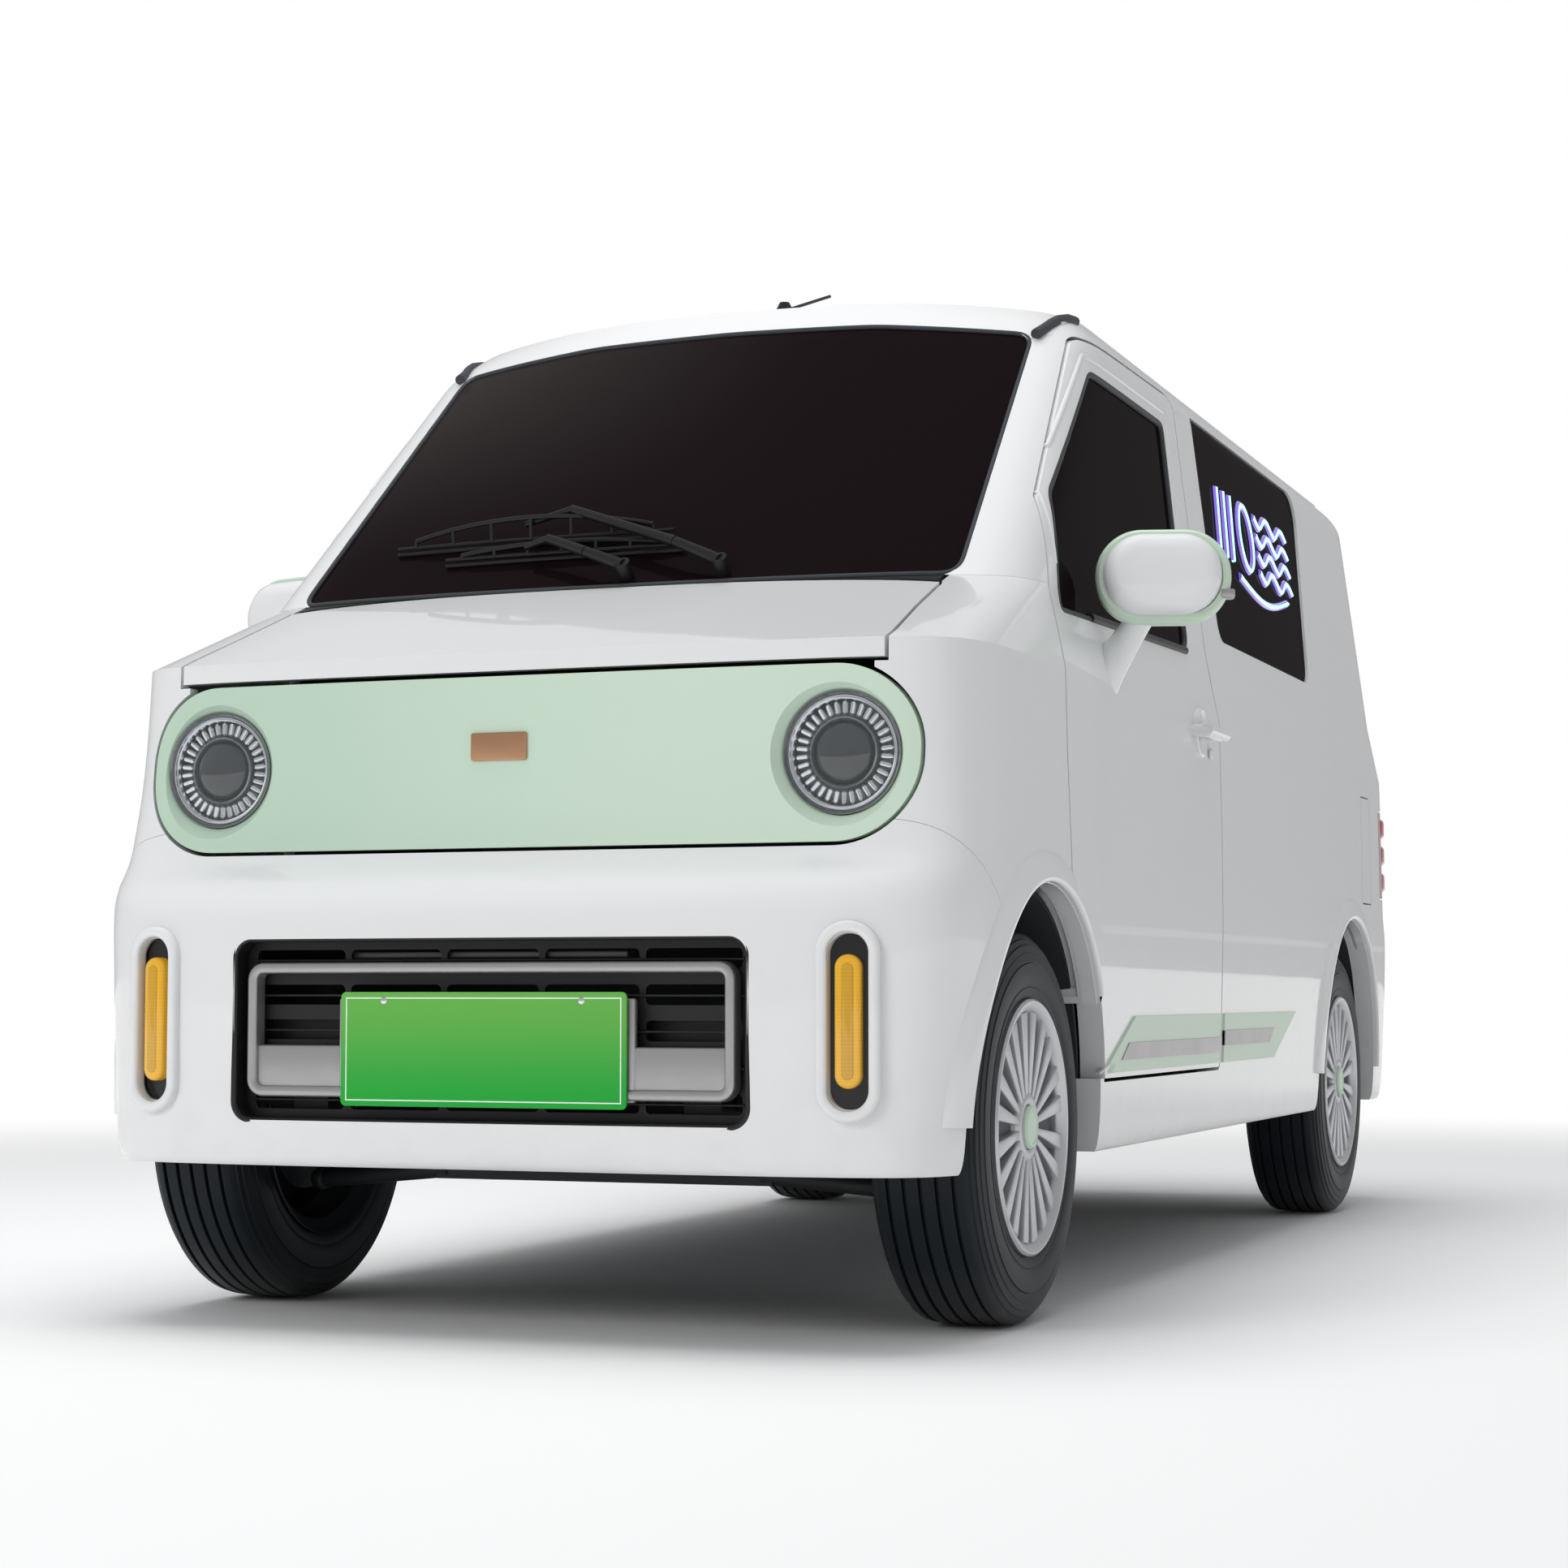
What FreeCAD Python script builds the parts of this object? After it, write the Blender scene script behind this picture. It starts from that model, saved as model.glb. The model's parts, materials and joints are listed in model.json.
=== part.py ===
"""Small electric cargo van: body panels, doors, glass, running gear and interior as separate solids.

Millimetres.  +Z is up, -Y is forward and +X is the vehicle's left.  The origin is on the ground at the
middle of the vehicle's overall length.  Distances called "aft" are measured rearwards from the front axle.
"""
import FreeCAD, Part
import math
import os

V = FreeCAD.Vector
X_AXIS, Y_AXIS, Z_AXIS = V(1, 0, 0), V(0, 1, 0), V(0, 0, 1)

# ---------------------------------------------------------------- driving dimensions
length = 3560.0            # overall, bumper to bumper
front_overhang = 490.0     # front axle to the front of the bumper
wheelbase = 2550.0
half_width = 715.0         # to the flank, without mirrors
roof_top = 1775.0          # highest point of the roof skin
roof_crown = 95.0          # rise of the roof from its edge to its middle
tyre_radius = 300.0
tyre_width = 168.0
rim_radius = 190.0         # where the tyre's bead sits
wheel_x = 606.0            # middle of the tyre from the centre plane
kingpin_x = 534.0          # steering axis from the centre plane

belt_z = 1015.0            # crease along the flank and over the nose
cowl_z = 1150.0            # foot of the windscreen
body_bottom = 246.0
sill_top = 358.0
cab_floor_z = 350.0        # top of the floor under the feet
load_floor_z = 470.0       # top of the load floor
floor_thickness = 18.0
load_start = 1310.0        # aft of the front axle
door_front = 136.0         # aft of the front axle
door_rear = 1210.0
arch_width, arch_height = 345.0, 371.0   # half axes of the wheel opening's ellipse

side_wall = 42.0           # thickness of doors and body sides
nose_wall = 24.0           # bumper, fenders and bonnet
roof_wall = 30.0
glass_thickness = 5.0
glass_sink = 6.0           # glass lies this far inside the skin
shut_gap = 6.0             # between a panel that opens and its neighbours

front_axle_y = -length / 2 + front_overhang
rear_axle_y = front_axle_y + wheelbase
tail_aft = length - front_overhang


def aft(distance):
    """Y of a point that far behind the front axle."""
    return front_axle_y + distance


# ---------------------------------------------------------------- small geometry helpers
def rounded(points, radii):
    """Closed wire through points in one plane, each corner rounded by its own radius."""
    count = len(points)
    starts, ends, mids = [], [], []
    for i, corner in enumerate(points):
        to_last = (points[i - 1] - corner).normalize()
        to_next = (points[(i + 1) % count] - corner).normalize()
        half = to_last.getAngle(to_next) / 2
        run = radii[i] / math.tan(half)
        bisector = (to_last + to_next).normalize()
        starts.append(corner + to_last * run)
        ends.append(corner + to_next * run)
        mids.append(corner + bisector * (radii[i] / math.sin(half) - radii[i]))
    edges = []
    for i in range(count):
        if radii[i] > 0:
            edges.append(Part.Arc(starts[i], mids[i], ends[i]).toShape())
        following = (i + 1) % count
        if ends[i].distanceToPoint(starts[following]) > 1e-6:
            edges.append(Part.makeLine(ends[i], starts[following]))
    return Part.Wire(edges)


def side_outline(points, radius, grow=0.0):
    """Rounded outline in the plane X = 0 from (aft, z) points; radius is one number or one per point."""
    radii = radius if isinstance(radius, (list, tuple)) else [radius] * len(points)
    wire = rounded([V(0, aft(a), z) for a, z in points], radii)
    return wire.makeOffset2D(grow) if grow else wire


def front_outline(points, radius, grow=0.0):
    """Rounded outline in the plane Y = 0 from (x, z) points."""
    radii = radius if isinstance(radius, (list, tuple)) else [radius] * len(points)
    wire = rounded([V(x, 0, z) for x, z in points], radii)
    return wire.makeOffset2D(grow) if grow else wire


def across(wire, side, inner=450.0, outer=1000.0):
    """Extrudes a side outline across one side of the vehicle."""
    moved = wire.copy()
    moved.translate(V(side * inner, 0, 0))
    return Part.Face(moved).extrude(V(side * (outer - inner), 0, 0))


def along(wire, aft_from, aft_to):
    """Extrudes a front outline along the vehicle."""
    moved = wire.copy()
    moved.translate(V(0, aft(aft_from), 0))
    return Part.Face(moved).extrude(V(0, aft_to - aft_from, 0))


def mirrored(shape):
    return shape.mirror(V(0, 0, 0), X_AXIS)


def both(shape):
    return Part.makeCompound([shape, mirrored(shape)])


def box(x0, x1, a0, a1, z0, z1):
    """Block from x0 to x1, from a0 to a1 aft of the front axle and from z0 to z1."""
    return Part.makeBox(x1 - x0, a1 - a0, z1 - z0, V(x0, aft(a0), z0))


def rod(a, b, radius):
    return Part.makeCylinder(radius, (b - a).Length, a, b - a)


def disc(centre, radius, x_from, x_to):
    """Cylinder about a line across the vehicle."""
    start = V(min(x_from, x_to), centre.y, centre.z)
    return Part.makeCylinder(radius, abs(x_to - x_from), start, X_AXIS)


def turned(profile, centre):
    """Full turn about the line across the vehicle through centre; profile is (x, radius) points."""
    wire = Part.makePolygon([V(x, centre.y, centre.z + r) for x, r in profile + profile[:1]])
    return Part.Face(wire).revolve(centre, X_AXIS, 360)


def fused(shapes):
    shape = shapes[0].fuse(shapes[1:])
    return shape.removeSplitter()


def softened(shape, radius):
    """The shape with all its edges rounded, or as it is where the rounding cannot be built."""
    try:
        result = shape.makeFillet(radius, shape.Edges)
        return result if result.isValid() and result.Volume > 0 else shape
    except Part.OCCError:
        return shape


# ---------------------------------------------------------------- outer form of the body
# Half outlines of the nose seen from above: control points (x as a share of the flank, aft).
bumper_nose = [(0, -492), (0.30, -492), (0.62, -484), (0.93, -460), (1.0, -330), (1.0, -190)]
upper_nose = [(0, -386), (0.30, -386), (0.62, -384), (0.92, -370), (0.985, -260), (0.995, -120)]
screen_rise = 1.045        # aft travel of the windscreen for each mm of height
rear_corner = 100.0


def screen_nose(z):
    """Control points of the windscreen and the pillars beside it at one height."""
    centre = -62 + screen_rise * (z - cowl_z)
    spread = 1 + 0.0012 * (z - cowl_z)
    steps = [(0, 0), (0.30, 0), (0.62, 14 * spread), (0.90, 50 * spread), (0.985, 130), (1.0, 230)]
    return [(share, centre + step) for share, step in steps]


def mixed_nose(front_share, side_share):
    """Control points between the bumper's (0) and the upper ones (1); the sides follow their own share."""
    shares = [front_share] * 3 + [(front_share + side_share) / 2] + [side_share] * 2
    return [(b[0] + (u[0] - b[0]) * s, b[1] + (u[1] - b[1]) * s)
            for b, u, s in zip(bumper_nose, upper_nose, shares)]


def drawn_back(nose, distance):
    """The outline with its front moved rearwards; the flank stays."""
    return [(share, a + distance * (1 - i / (len(nose) - 1))) for i, (share, a) in enumerate(nose)]


def plan_poles(z, nose, flank, rear, side_inset, end_inset):
    """Control points of the body's closed outline at height z, from the tail's middle all the way round."""
    flank = flank - side_inset
    rear = rear - end_inset
    fade = [1, 1, 1, 0.8, 0.4, 0]
    half = [(share * flank, a + end_inset * f) for (share, a), f in zip(nose, fade)]
    half += [(flank, 800), (flank, 1500), (flank, 2200), (flank, rear - rear_corner - 60),
             (flank, rear - rear_corner / 2), (flank - 6, rear - 6), (flank - rear_corner / 2, rear),
             (flank - rear_corner - 60, rear), (flank / 2, rear), (0, rear)]
    left = [V(x, aft(a), z) for x, a in half]
    right = [V(-p.x, p.y, p.z) for p in left]
    return left[::-1] + right[1:]


def clamped(count, degree):
    """Knots and multiplicities of a clamped B-spline with that many control points."""
    spans = count - degree
    return list(range(spans + 1)), [degree + 1] + [1] * (spans - 1) + [degree + 1]


def skin_between(rows, degree_up):
    """Surface through rows of control points, smooth along each row."""
    knots_up, mults_up = clamped(len(rows), degree_up)
    knots_round, mults_round = clamped(len(rows[0]), 3)
    surface = Part.BSplineSurface()
    surface.buildFromPolesMultsKnots(rows, mults_up, mults_round, knots_up, knots_round,
                                     False, False, degree_up, 3)
    return surface


def body_groups():
    """Groups of levels (height, nose, flank, rear), each with the smoothness of its surface."""
    w = half_width
    end = tail_aft
    low = [
        (body_bottom, drawn_back(bumper_nose, 26), w - 20, end - 24),
        (body_bottom + 8, drawn_back(bumper_nose, 6), w - 12, end - 6),
        (330, drawn_back(bumper_nose, 0), w - 8, end),
        (470, bumper_nose, w - 2, end),
        (580, bumper_nose, w + 2, end),
        (640, mixed_nose(0.02, 0), w + 3, end - 4),
        (676, mixed_nose(0.35, 0.1), w + 3, end - 28),
        (705, mixed_nose(0.95, 0.3), w + 3, end - 33),
        (760, mixed_nose(1, 0.5), w + 3, end - 34),
        (860, mixed_nose(1, 0.9), w + 2, end - 34),
        (belt_z, upper_nose, w - 1, end - 34),
    ]
    shoulder = [low[-1], (cowl_z, screen_nose(cowl_z), w - 27, end - 40)]
    glasshouse = [shoulder[-1], (1620, screen_nose(1620), w - 85, end - 62)]
    edge = [glasshouse[-1], (1692, screen_nose(1692), w - 94, end - 66),
            (1742, screen_nose(1742), w - 232, end - 110)]
    above = [edge[-1], (1900, screen_nose(1900), w - 232, end - 110)]
    return [(low, 3), (shoulder, 1), (glasshouse, 1), (edge, 2), (above, 1)]


def crown(drop):
    """Everything below the domed roof; drop lowers the roof skin."""
    profile = [(-900, 0.0), (-200, 0.0), (420, 0.22), (620, 0.66), (1000, 1.02), (1700, 1.02),
               (2400, 1.0), (tail_aft - 200, 0.85), (tail_aft + 300, 0.70)]
    rows = []
    for distance, share in profile:
        edge_z = roof_top - roof_crown - drop
        rise = roof_crown * share
        reach = 800.0
        ends_z = edge_z - rise * ((reach / 640) ** 2 - 1)
        top_z = edge_z + rise
        rows.append([V(-reach, aft(distance), ends_z), V(-reach / 2, aft(distance), top_z),
                     V(0, aft(distance), top_z), V(reach / 2, aft(distance), top_z),
                     V(reach, aft(distance), ends_z)])
    return skin_between(rows, 3).toShape().extrude(V(0, 0, -2500))


def body_form(side_inset=0.0, end_inset=0.0, drop=0.0):
    """The closed outer form of the body, or the smaller form inside walls of the given thickness."""
    faces = []
    caps = []
    for levels, degree_up in body_groups():
        rows = [plan_poles(z, nose, flank, rear, side_inset, end_inset) for z, nose, flank, rear in levels]
        surface = skin_between(rows, degree_up)
        faces.append(surface.toShape())
        caps.append((rows[0], rows[-1]))
    for row in (caps[0][0], caps[-1][1]):
        knots, mults = clamped(len(row), 3)
        curve = Part.BSplineCurve()
        curve.buildFromPolesMultsKnots(row, mults, knots, False, 3)
        faces.append(Part.Face(Part.Wire([curve.toShape()])))
    shell = Part.makeShell(faces)
    shell.sewShape()
    return Part.makeSolid(shell).common(crown(drop))


# ---------------------------------------------------------------- outlines of the openings
def arch_area(centre_aft, side, grow=0.0, inner=450.0):
    """Solid that cuts one wheel opening through the flank."""
    width, height = arch_width + grow, arch_height + grow
    ellipse = Part.Ellipse(V(0, aft(centre_aft), tyre_radius), height, width)
    ellipse.rotate(FreeCAD.Placement(V(0, aft(centre_aft), tyre_radius), FreeCAD.Rotation(Y_AXIS, 90)))
    opening = across(Part.Wire(ellipse.toShape()), side, inner)
    below = box(inner, 1000, centre_aft - width, centre_aft + width, -50, tyre_radius)
    return opening.fuse(below if side > 0 else mirrored(below))


door_points = [(door_front + 20, 500), (door_front, 860), (door_front, belt_z + 50), (door_front - 4, 1128),
               (212, 1300), (572, 1638), (door_rear, 1650), (door_rear, sill_top + 6),
               (door_front + 20, sill_top + 6)]
door_radii = [0, 60, 60, 30, 30, 60, 30, 12, 0]
window_points = [(174, 1112), (252, 1312), (588, 1578), (1100, 1578), (1064, 1150), (1010, 1134)]
window_radii = [14, 50, 22, 22, 14, 10]
panel_points = [(1362, 1640), (2400, 1640), (2268, 1192), (1362, 1192)]
panel_radii = [12, 60, 60, 40]
slide_points = [(door_rear + 14, 1650), (2205, 1650), (2205, 690), (2125, sill_top + 6),
                (door_rear + 14, sill_top + 6)]
slide_radii = [25, 25, 60, 40, 12]
slide_window_points = [(1300, 1600), (2110, 1600), (2090, 1192), (1300, 1192)]
screen_points = [(-579, cowl_z + 2), (579, cowl_z + 2), (545, 1640), (270, 1668), (0, 1674),
                 (-270, 1668), (-545, 1640)]
screen_radii = [30, 30, 45, 0, 0, 0, 45]
pill_points = [(-634, 720), (634, 720), (634, 978), (-634, 978)]
pill_radius = 122.0
lamp_x, lamp_z, lamp_radius = 516.0, 850.0, 87.5
tail_points = [(-560, 478), (560, 478), (560, 1150), (525, 1640), (-525, 1640), (-560, 1150)]
tail_radii = [40, 40, 200, 60, 60, 200]
tail_window_points = [(-478, 1170), (478, 1170), (452, 1570), (-452, 1570)]
flap_points = [(2715, 715), (2828, 715), (2828, 965), (2715, 965)]


class Body:
    """Closed forms that the panels are cut from, built once."""
    outer = body_form()
    inside = body_form(side_wall, side_wall, roof_wall)
    nose_inside = body_form(nose_wall, nose_wall, nose_wall)
    glass_outer = body_form(glass_sink, glass_sink, glass_sink)
    glass_inner = body_form(glass_sink + glass_thickness, glass_sink + glass_thickness,
                            glass_sink + glass_thickness)
    shell = outer.cut(inside)
    nose_shell = outer.cut(nose_inside)
    glass = glass_outer.cut(glass_inner)


def door_area(side, grow=0.0):
    area = across(side_outline(door_points, door_radii, grow), side)
    return area.cut(arch_area(0, side, 28 - grow))


def bonnet_area(grow=0.0):
    """Prism over the bonnet, seen from above."""
    x, front = 582 + grow, -500
    outline = [V(-x, aft(front), 0), V(x, aft(front), 0), V(x, aft(-330), 0), (V(572 + grow, aft(-200), 0)),
               V(566 + grow, aft(-62 + grow), 0), V(-566 - grow, aft(-62 + grow), 0),
               V(-572 - grow, aft(-200), 0), V(-x, aft(-330), 0)]
    face = Part.Face(Part.makePolygon(outline + outline[:1]))
    face.translate(V(0, 0, 986 - grow))
    return face.extrude(V(0, 0, 300))


def bumper_area(grow=0.0):
    """The front below the line that runs from the lamp panel down to the wheel opening."""
    points = [(-700, 100), (-150, 100), (-150, 560), (-237, 628), (-351, 721), (-437, 796),
              (-470, 812), (-700, 812)]
    return across(side_outline(points, 0, grow), 1, -1000, 1000)


def pill_area(grow=0.0):
    return along(front_outline(pill_points, pill_radius, grow), -700, -150)


# ---------------------------------------------------------------- body panels
handle_x, handle_z = 745.0, 985.0
handle_half_length, handle_radius = 75.0, 11.0


def make_handle(side, place):
    """Pull handle on two posts, centred that far aft of the front axle."""
    middle = aft(place)
    parts = [rod(V(side * handle_x, middle - handle_half_length, handle_z),
                 V(side * handle_x, middle + handle_half_length, handle_z), handle_radius)]
    for end in (-1, 1):
        post_y = middle + end * (handle_half_length - 9)
        parts.append(rod(V(side * 700, post_y, handle_z), V(side * handle_x, post_y, handle_z),
                         handle_radius - 1))
    return fused(parts)


def make_doors():
    doors, glasses = [], []
    for side in (1, -1):
        skin = Body.shell.common(door_area(side))
        opening = across(side_outline(window_points, window_radii), side)
        door = skin.cut(opening)
        doors.append(fused([door, make_handle(side, 1050)]))
        glasses.append(Body.glass.common(opening))
    return doors, glasses


def make_bonnet():
    return Body.nose_shell.common(bonnet_area())


dish_depth = 26.0          # of the cone that the lamp lies at the bottom of
dish_flare = 18.0          # wider at its mouth
lamp_face = -364.0         # aft of the front axle


def make_lamp_panel():
    panel = Body.nose_shell.common(pill_area())
    mouth = lamp_face - dish_depth
    for side in (1, -1):
        centre = V(side * lamp_x, aft(mouth), lamp_z)
        dish = Part.makeCone(lamp_radius + 3 + dish_flare, lamp_radius + 3, dish_depth, centre, Y_AXIS)
        bore = rod(V(side * lamp_x, aft(lamp_face), lamp_z), V(side * lamp_x, aft(-200), lamp_z),
                   lamp_radius + 3)
        panel = panel.cut(fused([dish, bore]))
    return panel


def make_headlamps():
    lens_back = lamp_face + 12
    lamp = rod(V(lamp_x, aft(lens_back), lamp_z), V(lamp_x, aft(-230), lamp_z), lamp_radius)
    lens = rod(V(lamp_x, aft(lamp_face), lamp_z), V(lamp_x, aft(lens_back), lamp_z), lamp_radius - 22)
    return both(fused([lamp, lens]))


slot_x = 562.0
slot_points = [(slot_x - 30, 341), (slot_x + 30, 341), (slot_x + 30, 587), (slot_x - 30, 587)]
grille_points = [(-415, 314), (415, 314), (415, 584), (-415, 584)]


def make_front_bumper():
    skin = Body.nose_shell.common(bumper_area())
    skin = skin.cut(pill_area(shut_gap)).cut(bonnet_area(shut_gap))
    front_only = box(-900, 900, -700, 0, 200, 900)
    skin = skin.common(front_only)
    for side in (1, -1):
        skin = skin.cut(arch_area(0, side))
        slot = along(front_outline(slot_points, 29), -700, -250)
        skin = skin.cut(slot if side > 0 else mirrored(slot))
    skin = skin.cut(along(front_outline(grille_points, 28), -700, -300))
    return skin


def make_corner_lamps():
    lamp = along(front_outline(slot_points, 29, -1), -474, -430)
    return both(lamp)


def make_grille():
    """Back plate with four bars behind the opening, and the bumper beam that carries it."""
    plate = along(front_outline([(-430, 300), (430, 300), (430, 598), (-430, 598)], 30), -448, -440)
    slots = []
    for row in range(5):
        z = 330 + row * 52
        slots += [along(front_outline([(x, z), (x + 150, z), (x + 150, z + 30), (x, z + 30)], 8), -460, -400)
                  for x in (-395, -235, -75, 85, 245)]
    beam = box(-520, 520, -415, -375, 380, 480)
    brackets = [box(x - 20, x + 20, -441, -410, 400, 460) for x in (-420, 420)]
    horns = [box(x - 29, x + 29, -415, -330, 290, 395) for x in (-320, 320)]
    return fused([plate.cut(Part.makeCompound(slots)), beam] + brackets + horns)


def make_grille_frame():
    outer = along(front_outline([(-392, 349), (392, 349), (392, 547), (-392, 547)], 22), -474, -450)
    inner = along(front_outline([(-372, 425), (372, 425), (372, 531), (-372, 531)], 14), -480, -440)
    pads = [box(x - 15, x + 15, -452, -448, 360, 400) for x in (-300, 300)]
    return fused([outer.cut(inner)] + pads)


def make_number_plate():
    plate = along(front_outline([(-231, 337), (231, 337), (231, 505), (-231, 505)], 8), -486, -483)
    screws = [rod(V(x, aft(-484), 380), V(x, aft(-474), 380), 6) for x in (-160, 160)]
    return fused([plate] + screws)


def make_fenders():
    """Front wings with the windscreen corners' feet, one each side."""
    skin = Body.nose_shell.common(box(-900, 900, -700, 300, sill_top + 6, cowl_z))
    skin = skin.cut(bumper_area(1.0)).cut(pill_area(shut_gap)).cut(bonnet_area(shut_gap))
    skin = skin.cut(box(-568, 568, -700, 400, 200, 1400))
    for side in (1, -1):
        skin = skin.cut(arch_area(0, side))
        skin = skin.cut(door_behind(side))
    return skin


def door_behind(side):
    """The door's area and all that lies behind its front edge."""
    behind = box(450, 1000, 165, 700, 200, 1120)
    area = door_area(side, shut_gap)
    arch = arch_area(0, side, 28 - shut_gap)
    return area.fuse((behind if side > 0 else mirrored(behind)).cut(arch))


def cowl_area(grow=0.0):
    return box(-560 - grow, 560 + grow, -56 + shut_gap - grow, 120, 1090, cowl_z + 24 + grow)


def make_cowl():
    """Panel between the bonnet and the windscreen, with the strip that the glass rests on."""
    panel = Body.shell.common(cowl_area())
    screen = along(front_outline(screen_points, screen_radii, 4), -300, 800)
    return keep_large(panel.cut(screen.cut(Body.glass_inner)))


def make_screen():
    return Body.glass.common(along(front_outline(screen_points, screen_radii), -300, 800))


def screen_y(x, z):
    """Aft distance of the windscreen's outer face at a point."""
    line = Part.makeLine(V(x, aft(-400), z), V(x, aft(900), z))
    inside = line.common(Body.outer)
    return min(v.Y for v in inside.Vertexes) - front_axle_y


def on_screen(x, z, lift):
    """Point lying lift in front of the windscreen's outer face."""
    slope = math.atan(1 / 1.045)
    return V(x, aft(screen_y(x, z)) - lift * math.cos(slope), z + lift * math.sin(slope))


# arm and blade of each wiper as (x, height over the cowl)
wiper_shapes = (([(196, 20), (112, 48), (-104, 124)], [(-430, 88), (82, 92)]),
                ([(30, 20), (-40, 40), (-120, 70)], [(-318, 58), (110, 63)]))


def make_wipers():
    """Two wipers at rest just above the glass; the blades follow it in short straight runs."""
    wipers = []
    runs = 5
    for arm, (start, end) in wiper_shapes:
        over = [on_screen(x, cowl_z + rise, 26) for x, rise in arm]
        pieces = [rod(on_screen(arm[0][0], cowl_z + arm[0][1], 1.5), over[0], 11)]
        pieces += [rod(over[i], over[i + 1], 7) for i in range(len(over) - 1)]
        knots = []
        for i in range(runs + 1):
            share = i / runs
            x = start[0] + (end[0] - start[0]) * share
            knots.append(on_screen(x, cowl_z + start[1] + (end[1] - start[1]) * share, 11))
        pieces += [rod(knots[i], knots[i + 1], 5) for i in range(runs)]
        pieces.append(rod(over[-1], on_screen(arm[-1][0], cowl_z + start[1], 11), 5))
        wipers.append(fused(pieces))
    return Part.makeCompound(wipers)


def make_sides():
    """Left and right body sides, cut from the shell in one go."""
    sides = []
    roof = roof_area(0.3)
    for side in (1, -1):
        half = box(0, 1000, -20, 3200, 200, 1900)
        half = half if side > 0 else mirrored(half)
        skin = Body.shell.common(half).cut(roof)
        nose = box(0, 1000, -600, 700, 200, cowl_z + 0.3)
        nose = nose if side > 0 else mirrored(nose)
        nose = nose.cut(box(-1000, 1000, 335, 700, 200, sill_top + 6))
        skin = skin.cut(nose).cut(cowl_area(0.3))
        skin = skin.cut(door_area(side, shut_gap))
        screen = along(front_outline(screen_points, screen_radii, 4), -300, 800)
        skin = skin.cut(screen.cut(Body.glass_inner))
        skin = skin.cut(along(front_outline(screen_points, screen_radii, -22), -300, 800))
        skin = skin.cut(arch_area(wheelbase, side)).cut(arch_area(0, side))
        skin = skin.cut(tail_area(shut_gap)).cut(bumper_rear_area(1.0))
        skin = skin.cut(tail_lamp_block(side, 3))
        if side > 0:
            pocket = across(side_outline(flap_points, 8, 3), side, 600).cut(Body.nose_inside)
            skin = skin.cut(pocket)
            skin = skin.cut(across(side_outline(panel_points, panel_radii), side))
        else:
            skin = skin.cut(across(side_outline(slide_points, slide_radii, shut_gap), side))
        centre = box(-1000, 0, -600, 3300, 100, 1900) if side > 0 else box(0, 1000, -600, 3300, 100, 1900)
        skin = skin.cut(centre)
        sides.append(keep_large(skin))
    return sides


def keep_large(shape, share=0.02):
    """The solids of a shape without slivers; the largest always stays."""
    solids = sorted(shape.Solids, key=lambda solid: -solid.Volume)
    kept = [solid for solid in solids if solid.Volume > share * solids[0].Volume]
    return kept[0] if len(kept) == 1 else Part.makeCompound(kept)


def roof_area(grow=0.0):
    """The roof between its two gutters and the header over the windscreen."""
    x = 575 + grow
    return box(-x, x, 380 - grow, 3200, 1640 - grow, 1900)


def tail_area(grow=0.0):
    return along(front_outline(tail_points, tail_radii, grow), 2850, 3300)


def bumper_rear_area(grow=0.0):
    points = [(2905, 100), (3400, 100), (3400, 470), (2925, 470)]
    return across(side_outline(points, 0, grow), 1, -1000, 1000)


def tail_lamp_block(side, grow=0.0):
    block = box(600 - grow, 800, 2955 - grow, 3200, 732 - grow, 943 + grow)
    return block if side > 0 else mirrored(block)


def make_roof():
    roof = Body.shell.common(roof_area())
    screen = along(front_outline(screen_points, screen_radii, 4), -300, 800)
    roof = roof.cut(screen.cut(Body.glass_inner)).cut(tail_area(shut_gap))
    roof = roof.cut(along(front_outline(screen_points, screen_radii, -22), -300, 800))
    return keep_large(roof)


def make_quarter_glass():
    """Dark panel of the left side."""
    return Body.glass.common(across(side_outline(panel_points, panel_radii), 1))


def make_slide():
    skin = Body.shell.common(across(side_outline(slide_points, slide_radii), -1))
    opening = across(side_outline(slide_window_points, 40), -1)
    skin = skin.cut(opening).cut(arch_area(wheelbase, -1, 30))
    return fused([skin, make_handle(-1, door_rear + 150)]), Body.glass.common(opening)


def make_tailgate():
    skin = Body.shell.common(tail_area())
    opening = along(front_outline(tail_window_points, 40), 2800, 3300)
    return keep_large(skin.cut(opening)), keep_large(Body.glass.common(opening))


def make_rear_bumper():
    skin = Body.shell.common(bumper_rear_area())
    return keep_large(skin)


def make_tail_lamps():
    lamps = Body.outer.cut(Body.inside).common(tail_lamp_block(1))
    bulges = []
    for index in range(3):
        z = 765 + index * 72
        bulges.append(Part.makeSphere(34, V(672, aft(2990), z)))
    lamp = fused([keep_large(lamps)] + bulges)
    return both(lamp)


def make_flap():
    area = across(side_outline(flap_points, 8), 1, 600)
    return keep_large(Body.outer.cut(Body.glass_inner).common(area))


# ---------------------------------------------------------------- floor, frame and heavy units
tie_down_x, tie_down_front, tie_down_rear = 400.0, 1500.0, 2080.0
tie_down_radius = 5.5
axle_radius = 38.0


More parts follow.
